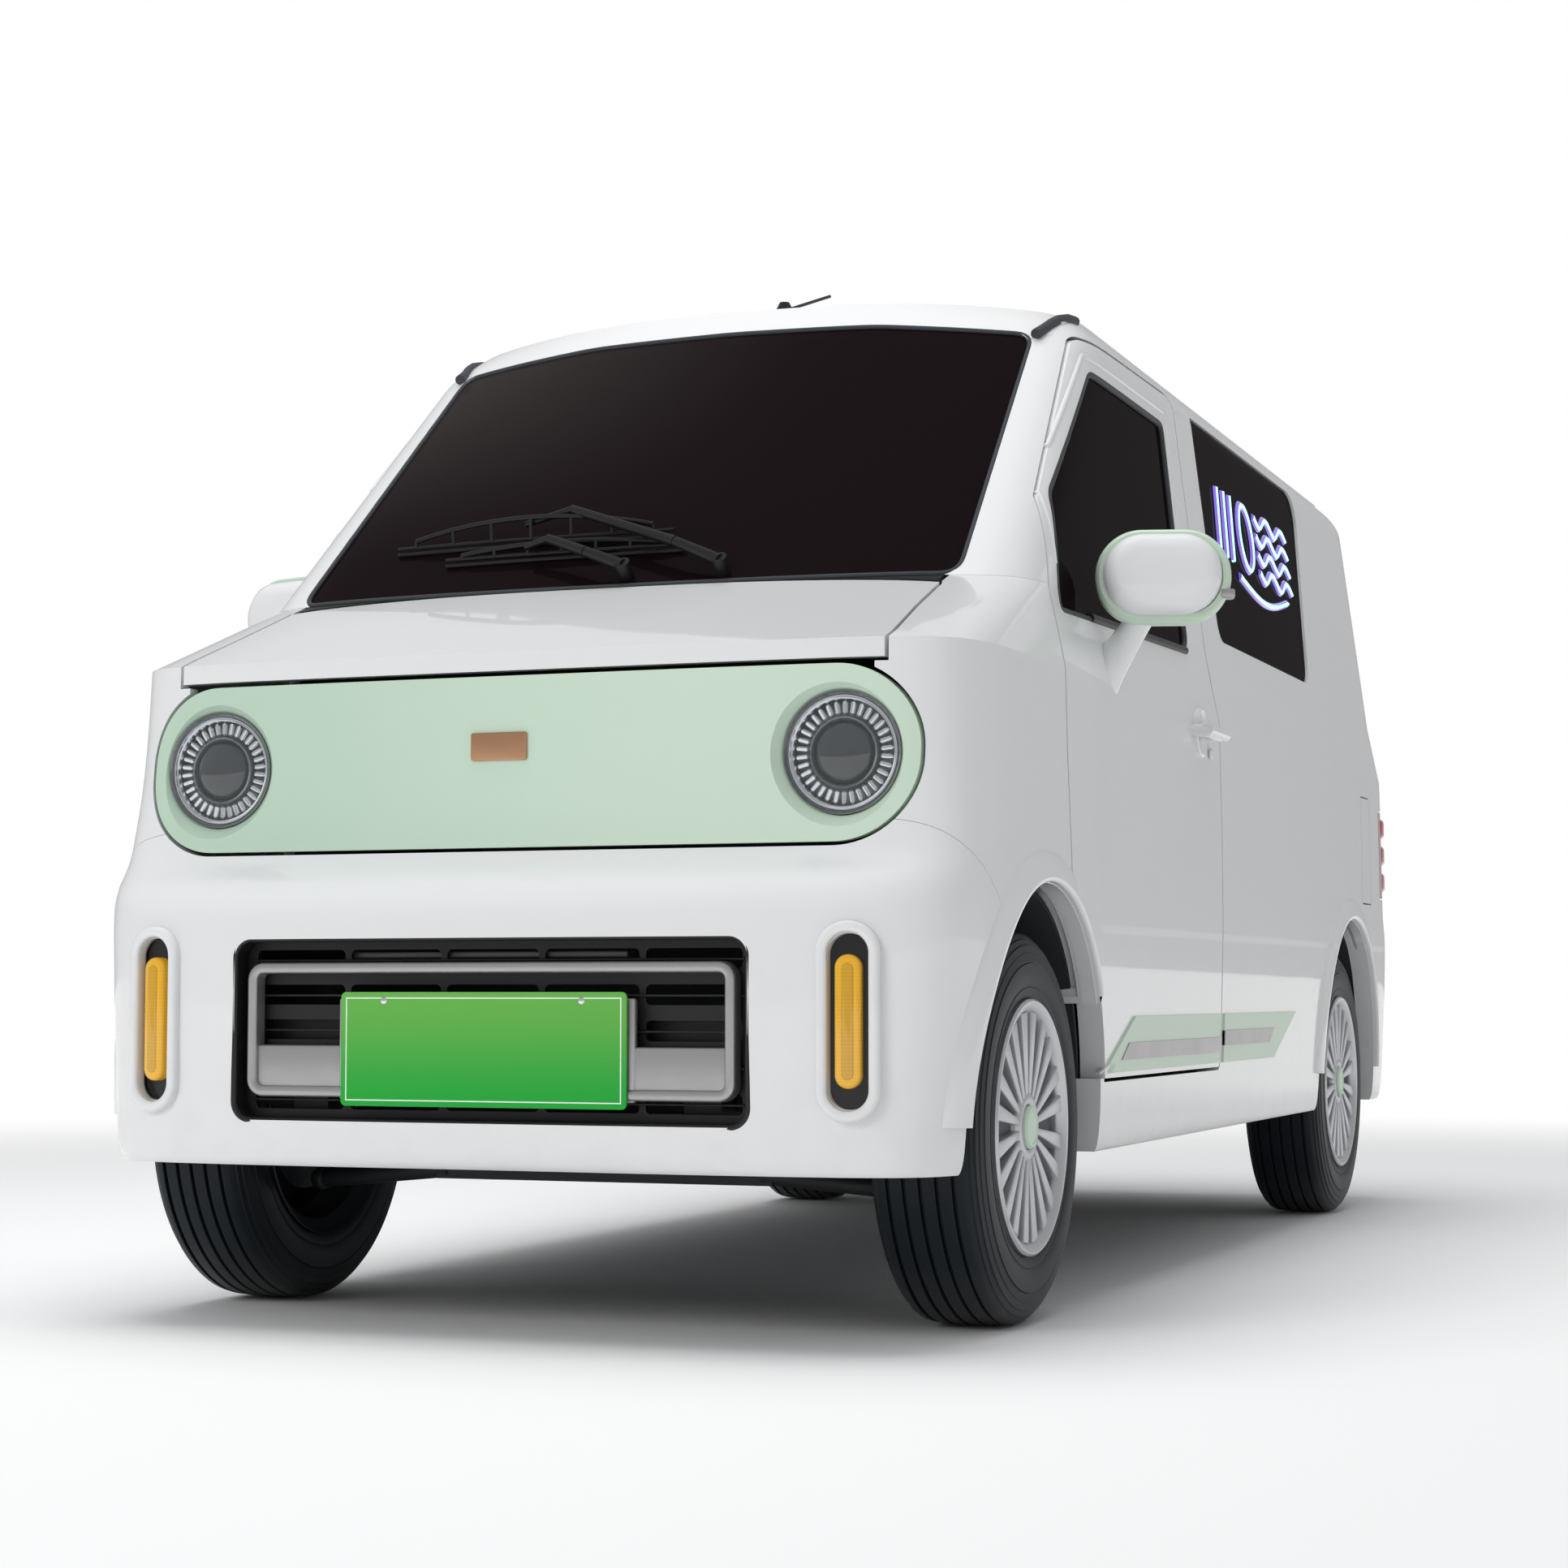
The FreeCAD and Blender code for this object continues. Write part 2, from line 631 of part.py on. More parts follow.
def make_floor():
    """Cab floor, step up to the load floor, toe board and the four wheel boxes."""
    under = cab_floor_z - floor_thickness
    load_under = load_floor_z - floor_thickness
    solids = [box(-645, 645, 130, load_start, under, cab_floor_z),
              box(-645, 645, load_start - floor_thickness, load_start, under, load_floor_z),
              box(-645, 645, load_start - floor_thickness, 2960, load_under, load_floor_z),
              box(-645, 645, 112, 130, under, 1080)]
    rooms = []
    for side in (1, -1):
        for centre, inner in ((0, 352), (wheelbase, 470)):
            solids.append(wheel_box(centre, inner, side))
            rooms.append(wheel_room(centre, inner + 8, side))
    whole = fused(solids)
    for room in rooms:
        whole = whole.cut(room)
    whole = whole.cut(disc(V(0, rear_axle_y, tyre_radius), axle_radius + 12, -540, 540))
    for x in (tie_down_x, -tie_down_x):
        for distance in (tie_down_front, tie_down_rear):
            whole = whole.cut(rod(V(x, aft(distance), 400), V(x, aft(distance), 500), tie_down_radius))
    return keep_large(whole.common(body_form(side_wall + 1, side_wall + 1, roof_wall + 1)))


def wheel_room(centre_aft, inner, side, grow=0.0):
    """Space kept free round one wheel."""
    width, height = arch_width + 12 + grow, arch_height - 8 + grow
    ellipse = Part.Ellipse(V(0, aft(centre_aft), tyre_radius), height, width)
    ellipse.rotate(FreeCAD.Placement(V(0, aft(centre_aft), tyre_radius), FreeCAD.Rotation(Y_AXIS, 90)))
    upper = across(Part.Wire(ellipse.toShape()), side, inner - grow, 760)
    lower = box(inner - grow, 760, centre_aft - width, centre_aft + width, -50, tyre_radius)
    return upper.fuse(lower if side > 0 else mirrored(lower))


def wheel_box(centre_aft, inner, side):
    room = wheel_room(centre_aft, inner + 8, side, 8)
    above = box(-1000, 1000, centre_aft - 600, centre_aft + 600, cab_floor_z - floor_thickness, 1000)
    return room.common(above)


jack_pad_aft, jack_pad_depth = 950.0, 10.0


def make_rails():
    """Two lengthwise frame rails, raised over the rear axle, joined by crossmembers."""
    low, high = cab_floor_z - floor_thickness, load_floor_z - floor_thickness
    depth = 68.0
    points = [(-330, low), (2060, low), (2300, high), (2950, high),
              (2950, high - depth), (2320, high - depth), (2080, low - depth), (-330, low - depth)]
    rail = Part.Face(side_outline(points, [0, 60, 60, 0, 0, 60, 60, 0])).extrude(V(60, 0, 0))
    rails = []
    for x in (290, -350):
        one = rail.copy()
        one.translate(V(x, 0, 0))
        rails.append(one)
    for distance, top in ((-300, low), (330, low), (1190, low), (2030, low), (2900, high)):
        rails.append(box(-290, 290, distance - 25, distance + 25, top - depth + 6, top - 6))
    jack_low = low - depth - jack_pad_depth
    for x0, x1 in ((298, 346), (-346, -298)):
        rails.append(box(x0, x1, jack_pad_aft - 50, jack_pad_aft + 50, jack_low, low - depth + 5))
    return fused(rails)


def make_battery():
    case = softened(box(-282, 282, 420, 1960, 200, 254), 12)
    ears = [box(x0, x1, distance - 30, distance + 30, 240, 263.9) for distance in (520, 1240, 1900)
            for x0, x1 in ((-330, -275), (275, 330))]
    return fused([case] + ears)


def make_front_suspension():
    """Crossmember, lower arms and struts; the arms end below the steering knuckles."""
    beam = box(-290, 290, -60, 60, 205, 255)
    tower = [box(x0, x1, -40, 40, 250, 268) for x0, x1 in ((-290, -250), (250, 290))]
    solids = [beam] + tower
    for side in (1, -1):
        inner_front, inner_rear = V(side * 270, aft(-50), 222), V(side * 270, aft(50), 222)
        joint = V(side * kingpin_x, aft(0), 196)
        solids += [rod(inner_front, joint, 15), rod(inner_rear, joint, 15)]
        solids.append(Part.makeSphere(19, joint))
    return fused(solids)


def make_rear_axle():
    """Beam axle with the drive motor and its gear case in the middle."""
    centre = V(0, rear_axle_y, tyre_radius)
    beam = disc(centre, axle_radius, -520, 520)
    case = disc(centre, 92, -70, 60)
    motor = disc(V(0, rear_axle_y - 60, tyre_radius + 10), 96, 40, 240)
    flanges = [disc(centre, 70, x, x + 12) for x in (-532, 520)]
    return fused([beam, case, motor] + flanges)


def make_rear_springs():
    """Leaf springs under the axle, one pair of leaves a side, with their shackles and bolts."""
    spring_x = 400.0
    leaves = []
    for length_half, top in ((390, 250), (260, 240)):
        start = V(spring_x - 25, rear_axle_y - length_half, top + 32)
        middle = V(spring_x - 25, rear_axle_y, top)
        end = V(spring_x - 25, rear_axle_y + length_half, top + 32)
        upper = Part.Arc(start, middle, end).toShape()
        down = V(0, 0, -10)
        lower = Part.Arc(start + down, middle + down, end + down).toShape()
        wire = Part.Wire([upper, Part.makeLine(end, end + down), lower, Part.makeLine(start + down, start)])
        leaves.append(Part.Face(wire).extrude(V(50, 0, 0)))
    pads = [box(spring_x - 30, spring_x + 30, wheelbase - 45, wheelbase + 45, 228, tyre_radius - 38.3)]
    hangers = [box(350, spring_x + 20, wheelbase + end - 20, wheelbase + end + 20, 268, 400)
               for end in (-375, 375)]
    return both(fused(leaves + pads + hangers))


# ---------------------------------------------------------------- wheels and steering
def wheel_centre(side, front):
    return V(side * wheel_x, front_axle_y if front else rear_axle_y, tyre_radius)


def make_tyre(centre):
    w = tyre_width / 2
    r = tyre_radius
    profile = [(-w + 14, rim_radius), (-w, rim_radius + 22), (-w - 3, rim_radius + 58), (-w + 6, r - 26),
               (-w + 22, r - 4), (-w + 40, r), (w - 40, r), (w - 22, r - 4), (w - 6, r - 26),
               (w + 3, rim_radius + 58), (w, rim_radius + 22), (w - 14, rim_radius)]
    return turned([(centre.x + x, radius) for x, radius in profile], centre)


def make_rim(centre, side):
    """Steel wheel with its cover facing outwards."""
    w = tyre_width / 2
    out = side
    profile = [(w - 12, rim_radius - 0.4), (w - 2, rim_radius + 4), (w + 2, rim_radius - 6),
               (w - 16, rim_radius - 16),
               (w - 20, 60), (w - 10, 44), (w - 10, 20), (-6, 20), (-6, 62), (12, 80), (w - 40, 150),
               (w - 44, rim_radius - 22), (-w + 12, rim_radius - 16), (-w + 2, rim_radius - 4),
                (-w + 12, rim_radius - 0.4)]
    return turned([(centre.x + out * x, radius) for x, radius in profile], centre)


arm_length = 100.0         # from the steering axis to the tie rod's ball


def make_knuckle(side):
    """Upright with its stub axle, hub and brake disc; it turns about a vertical line."""
    centre = wheel_centre(side, True)
    x = side * kingpin_x
    post = rod(V(x, centre.y, 222), V(x, centre.y, 430), 24)
    stub = disc(centre, 17, x, side * (wheel_x + 60))
    hub = disc(centre, 58, side * (wheel_x - 22), side * (wheel_x - 8))
    brake = disc(centre, 120, side * (wheel_x - 42), side * (wheel_x - 32))
    arm = rod(V(x, centre.y, 256), V(x, centre.y + arm_length, 256), 10)
    return fused([post, stub, hub, brake, arm])


def make_steering_rack():
    """Tubular housing under the frame rails."""
    y = front_axle_y + arm_length - 6
    housing = Part.makeCylinder(20, 460, V(-230, y, 228), X_AXIS)
    bore = Part.makeCylinder(11, 520, V(-260, y, 228), X_AXIS)
    clamps = [box(x - 20, x + 20, arm_length - 30, arm_length + 18, 240, 270) for x in (-160, 160)]
    bridge = box(-289.9, 289.9, arm_length - 30, arm_length + 18, 266, 278)
    return fused([housing] + clamps + [bridge]).cut(bore)


def make_tie_rods():
    """The sliding rack bar with both rods and their ball ends."""
    y = front_axle_y + arm_length - 6
    bar = Part.makeCylinder(8, 2 * kingpin_x, V(-kingpin_x, y, 228), X_AXIS)
    balls = [Part.makeSphere(12, V(x, y, 228)) for x in (-kingpin_x, kingpin_x)]
    return fused([bar] + balls)


steering_x = 325.0
column_low = V(steering_x, front_axle_y + 133, 640)
wheel_middle = V(steering_x, front_axle_y + 470, 925)


def make_steering_wheel():
    axis = (wheel_middle - column_low).normalize()
    ring = Part.makeTorus(182, 14, wheel_middle, axis)
    hub = rod(wheel_middle - axis * 22, wheel_middle + axis * 10, 48)
    column = rod(wheel_middle - axis * 120, wheel_middle, 20)
    sideways = X_AXIS
    down = axis.cross(sideways).normalize()
    spokes = [rod(wheel_middle, wheel_middle + direction * 178, 11)
              for direction in (sideways, sideways * -1, down if down.z < 0 else down * -1)]
    return fused([ring, hub, column] + spokes)


# ---------------------------------------------------------------- cab and outside fittings
def make_dashboard():
    axis = (wheel_middle - column_low).normalize()
    outline = [(131, 1075), (160, 1080), (330, 1000), (345, 930), (300, 860), (240, 720), (131, 690)]
    block = Part.Face(side_outline(outline, 20))
    block.translate(V(-630, 0, 0))
    block = block.extrude(V(1260, 0, 0))
    block = block.cut(rod(wheel_middle - axis * 125, wheel_middle, 80))
    return block.common(body_form(side_wall + 8, side_wall + 8, roof_wall))


def make_seats():
    seats = []
    for x in (steering_x, -steering_x):
        riser = box(x - 190, x + 190, 700, 1080, cab_floor_z, 560)
        cushion = softened(box(x - 235, x + 235, 640, 1110, 560, 690), 40)
        outline = [(1040, 650), (1160, 650), (1290, 1200), (1190, 1230)]
        back = Part.Face(side_outline(outline, 30))
        back.translate(V(x - 230, 0, 0))
        back = softened(back.extrude(V(460, 0, 0)), 25)
        head = softened(box(x - 125, x + 125, 1215, 1310, 1265, 1430), 30)
        posts = [rod(V(x + o, aft(1250), 1190), V(x + o, aft(1262), 1290), 7) for o in (-50, 50)]
        seats.append(fused([riser, cushion, back, head] + posts))
    return Part.makeCompound(seats)


def make_mirror(side):
    """Outside mirror on a stalk that grows from the door."""
    face = front_outline([(702, 1108), (926, 1108), (926, 1262), (702, 1262)], 72)
    case = along(face, 338, 410)
    rims = [edge for edge in case.Edges if edge.BoundBox.YLength < 1]
    front_rim = [edge for edge in rims if edge.BoundBox.YMax < aft(340)]
    case = case.makeFillet(34, front_rim)
    stalk = rod(V(680, aft(428), 1030), V(775, aft(376), 1150), 21)
    mirror = fused([case, stalk]).cut(Body.outer)
    mirror = keep_large(mirror)
    return mirror if side > 0 else mirrored(mirror)


def make_antenna():
    foot_z = 1743.0
    base = Part.makeCone(26, 9, 34, V(20, aft(705), foot_z))
    mast = rod(V(20, aft(715), foot_z + 22), V(20, aft(950), 1842), 3)
    return fused([base, mast]).cut(Body.outer)


def export(name, shape):
    if not shape.isValid():
        raise ValueError(name + " is not a valid solid")
    shape.exportStep("parts/" + name + ".step")


def main():
    os.makedirs("parts", exist_ok=True)
    nodes = {}
    doors, door_glasses = make_doors()
    nodes["door_left"], nodes["door_right"] = doors
    nodes["door_glass_left"], nodes["door_glass_right"] = door_glasses
    nodes["bonnet"] = make_bonnet()
    nodes["lamp_panel"] = make_lamp_panel()
    nodes["headlamps"] = make_headlamps()
    nodes["front_bumper"] = make_front_bumper()
    nodes["corner_lamps"] = make_corner_lamps()
    nodes["grille"] = make_grille()
    nodes["grille_frame"] = make_grille_frame()
    nodes["number_plate"] = make_number_plate()
    nodes["front_fenders"] = make_fenders()
    nodes["cowl"] = make_cowl()
    nodes["windscreen"] = make_screen()
    nodes["wipers"] = make_wipers()
    nodes["body_side_left"], nodes["body_side_right"] = make_sides()
    nodes["roof"] = make_roof()
    nodes["sliding_door"], slide_glass = make_slide()
    nodes["side_glass"] = Part.makeCompound([make_quarter_glass(), slide_glass])
    nodes["tailgate"], nodes["tailgate_glass"] = make_tailgate()
    nodes["rear_bumper"] = make_rear_bumper()
    nodes["tail_lamps"] = make_tail_lamps()
    nodes["charge_flap"] = make_flap()
    nodes["floor"] = make_floor()
    nodes["chassis_rails"] = make_rails()
    nodes["battery_pack"] = make_battery()
    nodes["front_suspension"] = Part.makeCompound([make_front_suspension(), make_steering_rack()])
    nodes["rear_axle"] = Part.makeCompound([make_rear_axle(), make_rear_springs()])
    for name, side, front in (("front_left", 1, True), ("front_right", -1, True),
                              ("rear_left", 1, False), ("rear_right", -1, False)):
        nodes["tyre_" + name] = make_tyre(wheel_centre(side, front))
        nodes["rim_" + name] = make_rim(wheel_centre(side, front), side)
    nodes["knuckle_left"] = make_knuckle(1)
    nodes["knuckle_right"] = make_knuckle(-1)
    nodes["tie_rods"] = make_tie_rods()
    nodes["steering_wheel"] = make_steering_wheel()
    nodes["dashboard"] = make_dashboard()
    nodes["seats"] = make_seats()
    nodes["mirror_left"] = make_mirror(1)
    nodes["mirror_right"] = make_mirror(-1)
    nodes["antenna"] = make_antenna()
    for name, shape in nodes.items():
        export(name, shape)


if __name__ == "__main__":
    main()
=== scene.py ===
import json
import logging
import math
from dataclasses import dataclass, field
from enum import Enum
from typing import Iterable, Sequence

import bmesh
import bpy
from mathutils import Matrix, Vector
from mathutils.bvhtree import BVHTree


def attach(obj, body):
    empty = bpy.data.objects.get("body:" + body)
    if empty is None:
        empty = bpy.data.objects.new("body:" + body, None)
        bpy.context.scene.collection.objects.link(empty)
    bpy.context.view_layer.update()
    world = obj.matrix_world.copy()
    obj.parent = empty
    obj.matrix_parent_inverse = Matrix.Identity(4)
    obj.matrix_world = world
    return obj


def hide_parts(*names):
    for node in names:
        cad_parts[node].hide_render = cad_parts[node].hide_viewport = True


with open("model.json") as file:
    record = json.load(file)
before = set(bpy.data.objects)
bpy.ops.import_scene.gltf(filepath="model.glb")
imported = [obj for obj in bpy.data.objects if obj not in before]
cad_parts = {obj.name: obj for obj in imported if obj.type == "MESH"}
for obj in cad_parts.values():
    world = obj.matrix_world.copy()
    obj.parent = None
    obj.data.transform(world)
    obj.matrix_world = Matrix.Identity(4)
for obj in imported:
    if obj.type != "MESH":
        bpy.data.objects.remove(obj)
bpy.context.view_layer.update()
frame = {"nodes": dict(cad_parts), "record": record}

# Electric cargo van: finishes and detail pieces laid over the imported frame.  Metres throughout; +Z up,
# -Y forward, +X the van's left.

Profile = Sequence[tuple[float, float]]
log = logging.getLogger("van")


class Side(Enum):
    """Which side of the van, as the sign of X."""
    LEFT = 1
    RIGHT = -1

    @property
    def word(self) -> str:
        """The side's name in lower case."""
        return self.name.lower()


class Slot(Enum):
    """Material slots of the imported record."""
    PAINT = "white_paint"
    MINT = "mint_paint"
    GLASS = "glass_dark"
    TYRE = "tyre"
    RIM = "rim"
    STEEL = "steel_dark"
    BLACK = "plastic_black"
    CLEAR = "lamp_clear"
    AMBER = "lamp_amber"
    RED = "lamp_red"
    SILVER = "silver_trim"
    PLATE = "plate_green"
    FABRIC = "seat_fabric"
    DASH = "dash_grey"
    FLOOR = "floor_steel"
    BATTERY = "battery_case"


# ------------------------------------------------------------------------------------------ shader tools
class Value:
    """A shader output whose arithmetic adds Math nodes."""

    def __init__(self, graph: "Graph", socket: bpy.types.NodeSocket) -> None:
        """Wraps one output socket of a graph."""
        self.graph = graph
        self.socket = socket

    def math(self, operation: str, *others: "Value | float", swap: bool = False) -> "Value":
        """One Math node.

        Args:
            operation: the node's operation.
            others: the remaining operands.
            swap: puts this value last.

        Returns:
            The node's output.
        """
        terms = [self, *others]
        if swap:
            terms.reverse()
        return self.graph.value("ShaderNodeMath", {"operation": operation}, dict(enumerate(terms)))

    def __add__(self, other: "Value | float") -> "Value":
        """Sum."""
        return self.math("ADD", other)

    def __sub__(self, other: "Value | float") -> "Value":
        """Difference."""
        return self.math("SUBTRACT", other)

    def __rsub__(self, other: float) -> "Value":
        """Difference with this value taken away."""
        return self.math("SUBTRACT", other, swap=True)

    def __mul__(self, other: "Value | float") -> "Value":
        """Product."""
        return self.math("MULTIPLY", other)

    __radd__ = __add__
    __rmul__ = __mul__

    def step(self, low: float, high: float) -> "Value":
        """0 below low, 1 above high and smooth between.

        Args:
            low: input where the result leaves 0.
            high: input where the result reaches 1.

        Returns:
            The eased value.
        """
        settings = {"interpolation_type": "SMOOTHSTEP"}
        return self.graph.value("ShaderNodeMapRange", settings,
                                {"Value": self, "From Min": low, "From Max": high})


class Graph:
    """The node tree of one new material."""

    def __init__(self, name: str) -> None:
        """Starts an empty tree with its output node."""
        self.material = bpy.data.materials.new(name)
        self.material.use_nodes = True
        self.tree = self.material.node_tree
        self.tree.nodes.clear()
        self.out = self.tree.nodes.new("ShaderNodeOutputMaterial")

    def node(self, kind: str, settings: dict | None = None, inputs: dict | None = None) -> bpy.types.Node:
        """Any node.

        Args:
            kind: the node's type.
            settings: attributes set before its inputs.
            inputs: value, Value or socket for each input by name or index.

        Returns:
            The new node.
        """
        made = self.tree.nodes.new(kind)
        for key, setting in (settings or {}).items():
            setattr(made, key, setting)
        for key, given in (inputs or {}).items():
            if isinstance(given, Value):
                self.tree.links.new(given.socket, made.inputs[key])
            elif isinstance(given, bpy.types.NodeSocket):
                self.tree.links.new(given, made.inputs[key])
            else:
                made.inputs[key].default_value = given
        return made

    def value(self, kind: str, settings: dict | None = None, inputs: dict | None = None,
              output: int | str = 0) -> Value:
        """As node(), but gives one of its outputs wrapped."""
        return Value(self, self.node(kind, settings, inputs).outputs[output])

    def place(self) -> Value:
        """Object coordinates."""
        return self.value("ShaderNodeTexCoord", output="Object")

    def axis(self, letter: str) -> Value:
        """One Object coordinate."""
        return self.value("ShaderNodeSeparateXYZ", None, {0: self.place()}, letter)

    def noise(self, scale: float, detail: float = 2.0, stretch: tuple = (1, 1, 1)) -> Value:
        """Noise between 0 and 1 on Object coordinates.

        Args:
            scale: cells for each metre.
            detail: octaves.
            stretch: scale along each axis.

        Returns:
            The noise value.
        """
        spot = self.value("ShaderNodeMapping", {"vector_type": "POINT"},
                          {"Vector": self.place(), "Scale": stretch})
        return self.value("ShaderNodeTexNoise", None, {"Vector": spot, "Scale": scale, "Detail": detail})

    def waves(self, letter: str, scale: float) -> Value:
        """Bands across one Object axis.

        Args:
            letter: the axis.
            scale: bands for each metre, roughly.

        Returns:
            The bands' height between 0 and 1.
        """
        settings = {"wave_type": "BANDS", "bands_direction": letter}
        return self.value("ShaderNodeTexWave", settings, {"Vector": self.place(), "Scale": scale}, "Fac")

    def mix(self, factor: "Value | float", first: "tuple | Value", second: "tuple | Value") -> Value:
        """Colour between two colours."""
        made = self.node("ShaderNodeMix", {"data_type": "RGBA"},
                         {0: factor, 6: opaque(first), 7: opaque(second)})
        return Value(self, made.outputs[2])

    def bump(self, height: Value, strength: float, distance: float) -> Value:
        """Normal from a height."""
        return self.value("ShaderNodeBump", None, {"Strength": strength, "Distance": distance,
                                                   "Height": height})

    def surface(self, inputs: dict) -> bpy.types.Material:
        """Ends the tree with a Principled shader and gives the material."""
        shader = self.node("ShaderNodeBsdfPrincipled", None, inputs)
        self.tree.links.new(shader.outputs[0], self.out.inputs["Surface"])
        return self.material


def opaque(colour: "tuple | Value") -> "tuple | Value":
    """Adds alpha 1 to a plain colour."""
    return colour if isinstance(colour, Value) else (*colour[:3], 1.0)


def scaled(colour: tuple, factor: float) -> tuple:
    """The colour with each channel multiplied."""
    return tuple(channel * factor for channel in colour)


# ---------------------------------------------------------------------------------------------- finishes
@dataclass(frozen=True)
class Paint:
    """Sprayed panel paint under a clear coat, with faint mottling, road film near the ground and, when given,
    a painted shade towards the van's right.
    """
    name: str
    colour: tuple
    roughness: float = 0.28
    coat: float = 1.0
    film: float = 0.06
    crease: float = 0.0
    # Painted shade: the darker colour the paint fades to on the van's right.
    right_shade_colour: tuple | None = None

    def build(self) -> bpy.types.Material:
        """Makes the material.

        Returns:
            Paint whose flanks have a fold of depth crease, and which fades to a darker colour on the van's
            right when one is given: a painted shade.
        """
        g = Graph(self.name)
        mottle = g.noise(5.0, 3.0)
        low = 1 - g.axis("Z").step(0.22, 0.62)
        dirt = low * g.noise(18.0, 4.0).step(0.35, 0.8)
        side_shaded_tone = self.colour
        # Painted shade: the base colour darkens across X towards the van's right.
        if self.right_shade_colour is not None:
            side_shaded_tone = g.mix(g.axis("X").step(-0.62, 0.35), self.right_shade_colour, self.colour)
        base = g.mix(mottle * 0.35, side_shaded_tone, scaled(self.colour, 0.955))
        worn = g.mix(dirt * self.film, base, (0.30, 0.28, 0.25))
        flank = g.axis("X").math("ABSOLUTE").step(0.690, 0.700) * g.axis("Y").step(-1.0, -0.9)
        fold = g.axis("Z").step(0.600, 0.616) * flank * self.crease
        relief = g.noise(420.0, 1.0) * 0.00001 + fold
        return g.surface({
            "Base Color": worn, "Roughness": mottle * 0.06 + self.roughness, "Coat Weight": self.coat,
            "Coat Roughness": 0.03, "Normal": g.bump(relief, 1.0, 1.0)})


@dataclass(frozen=True)
class Rubber:
    """Tyre rubber, blue-black, dusty where it meets the road."""
    name: str
    colour: tuple = (0.0060, 0.0092, 0.0130)

    def build(self) -> bpy.types.Material:
        """Makes the material."""
        g = Graph(self.name)
        grain = g.noise(260.0, 3.0)
        patch = g.noise(9.0, 3.0)
        dust = (1 - g.axis("Z").step(0.0, 0.12)) * patch
        base = g.mix(patch * 0.6, self.colour, scaled(self.colour, 1.9))
        return g.surface({
            "Base Color": g.mix(dust * 0.35, base, (0.12, 0.115, 0.11)),
            "Roughness": grain * 0.16 + 0.36, "Specular IOR Level": 0.22,
            "Normal": g.bump(grain, 0.25, 0.0006)})


@dataclass(frozen=True)
class Plastic:
    """Moulded plastic with a fine grain."""
    name: str
    colour: tuple
    roughness: float = 0.5
    grain: float = 0.18
    scale: float = 700.0
    metallic: float = 0.0

    def build(self) -> bpy.types.Material:
        """Makes the material."""
        g = Graph(self.name)
        grain = g.noise(self.scale, 2.0)
        cloud = g.noise(7.0, 3.0)
        return g.surface({
            "Base Color": g.mix(cloud * 0.5, self.colour, scaled(self.colour, 0.8)),
            "Metallic": self.metallic,
            "Roughness": grain * 0.12 + self.roughness, "Normal": g.bump(grain, self.grain, 0.0005)})


@dataclass(frozen=True)
class Metal:
    """Bare, painted or plated metal with drawn lines and slight cloudiness."""
    name: str
    colour: tuple
    roughness: float = 0.3
    metallic: float = 1.0
    rust: float = 0.0

    def build(self) -> bpy.types.Material:
        """Makes the material."""
        g = Graph(self.name)
        cloud = g.noise(14.0, 4.0)
        fine = g.noise(300.0, 2.0)
        base = g.mix(cloud * 0.6, self.colour, scaled(self.colour, 0.82))
        inputs = {"Base Color": base, "Metallic": self.metallic, "Roughness": cloud * 0.16 + self.roughness,
                  "Normal": g.bump(fine, 0.08, 0.0004)}
        if self.rust:
            spots = g.noise(35.0, 5.0).step(0.62, 0.75) * self.rust
            inputs["Base Color"] = g.mix(spots, base, (0.13, 0.06, 0.03))
            inputs["Metallic"] = spots * -1 + self.metallic
        return g.surface(inputs)


@dataclass(frozen=True)
class Glass:
    """Dark tinted pane with a painted reflection that lightens it towards its top and towards the van's
    right.
    """
    name: str
    colour: tuple = (0.0075, 0.0040, 0.0052)
    # Colour of the painted reflection on the upper pane.
    light: tuple = (0.042, 0.036, 0.034)
    alpha: float = 0.975

    def build(self) -> bpy.types.Material:
        """Makes the material."""
        g = Graph(self.name)
        # Painted reflection: the pane turns towards the light colour, and a little clearer, higher up and
        # towards the van's right.
        high = g.axis("Z").step(1.20, 1.72) * (1 - g.axis("X").step(-0.75, 0.25))
        smear = g.noise(3.0, 3.0)
        return g.surface({
            "Base Color": g.mix(high * 0.9, self.colour, self.light), "Roughness": smear * 0.04 + 0.02,
            "Alpha": high * -0.03 + self.alpha, "Specular IOR Level": 0.0, "Coat Weight": 0.10,
            "Coat Roughness": 0.04})


@dataclass(frozen=True)
class Lens:
    """Clear or coloured lamp lens with fine ribs."""
    name: str
    colour: tuple
    alpha: float = 0.25
    ribs: float = 0.0
    glow: float = 0.0
    pitch: float = 60.0

    def build(self) -> bpy.types.Material:
        """Makes the material."""
        g = Graph(self.name)
        wave = g.waves("Z", self.pitch)
        cloud = g.noise(30.0, 2.0)
        base = g.mix(wave * 0.25 + cloud * 0.15, self.colour, scaled(self.colour, 0.72))
        return g.surface({
            "Base Color": base, "Roughness": cloud * 0.05 + 0.03, "Alpha": self.alpha,
            "Coat Weight": 1.0, "Emission Color": base, "Emission Strength": self.glow,
            "Normal": g.bump(wave, self.ribs, 0.001)})


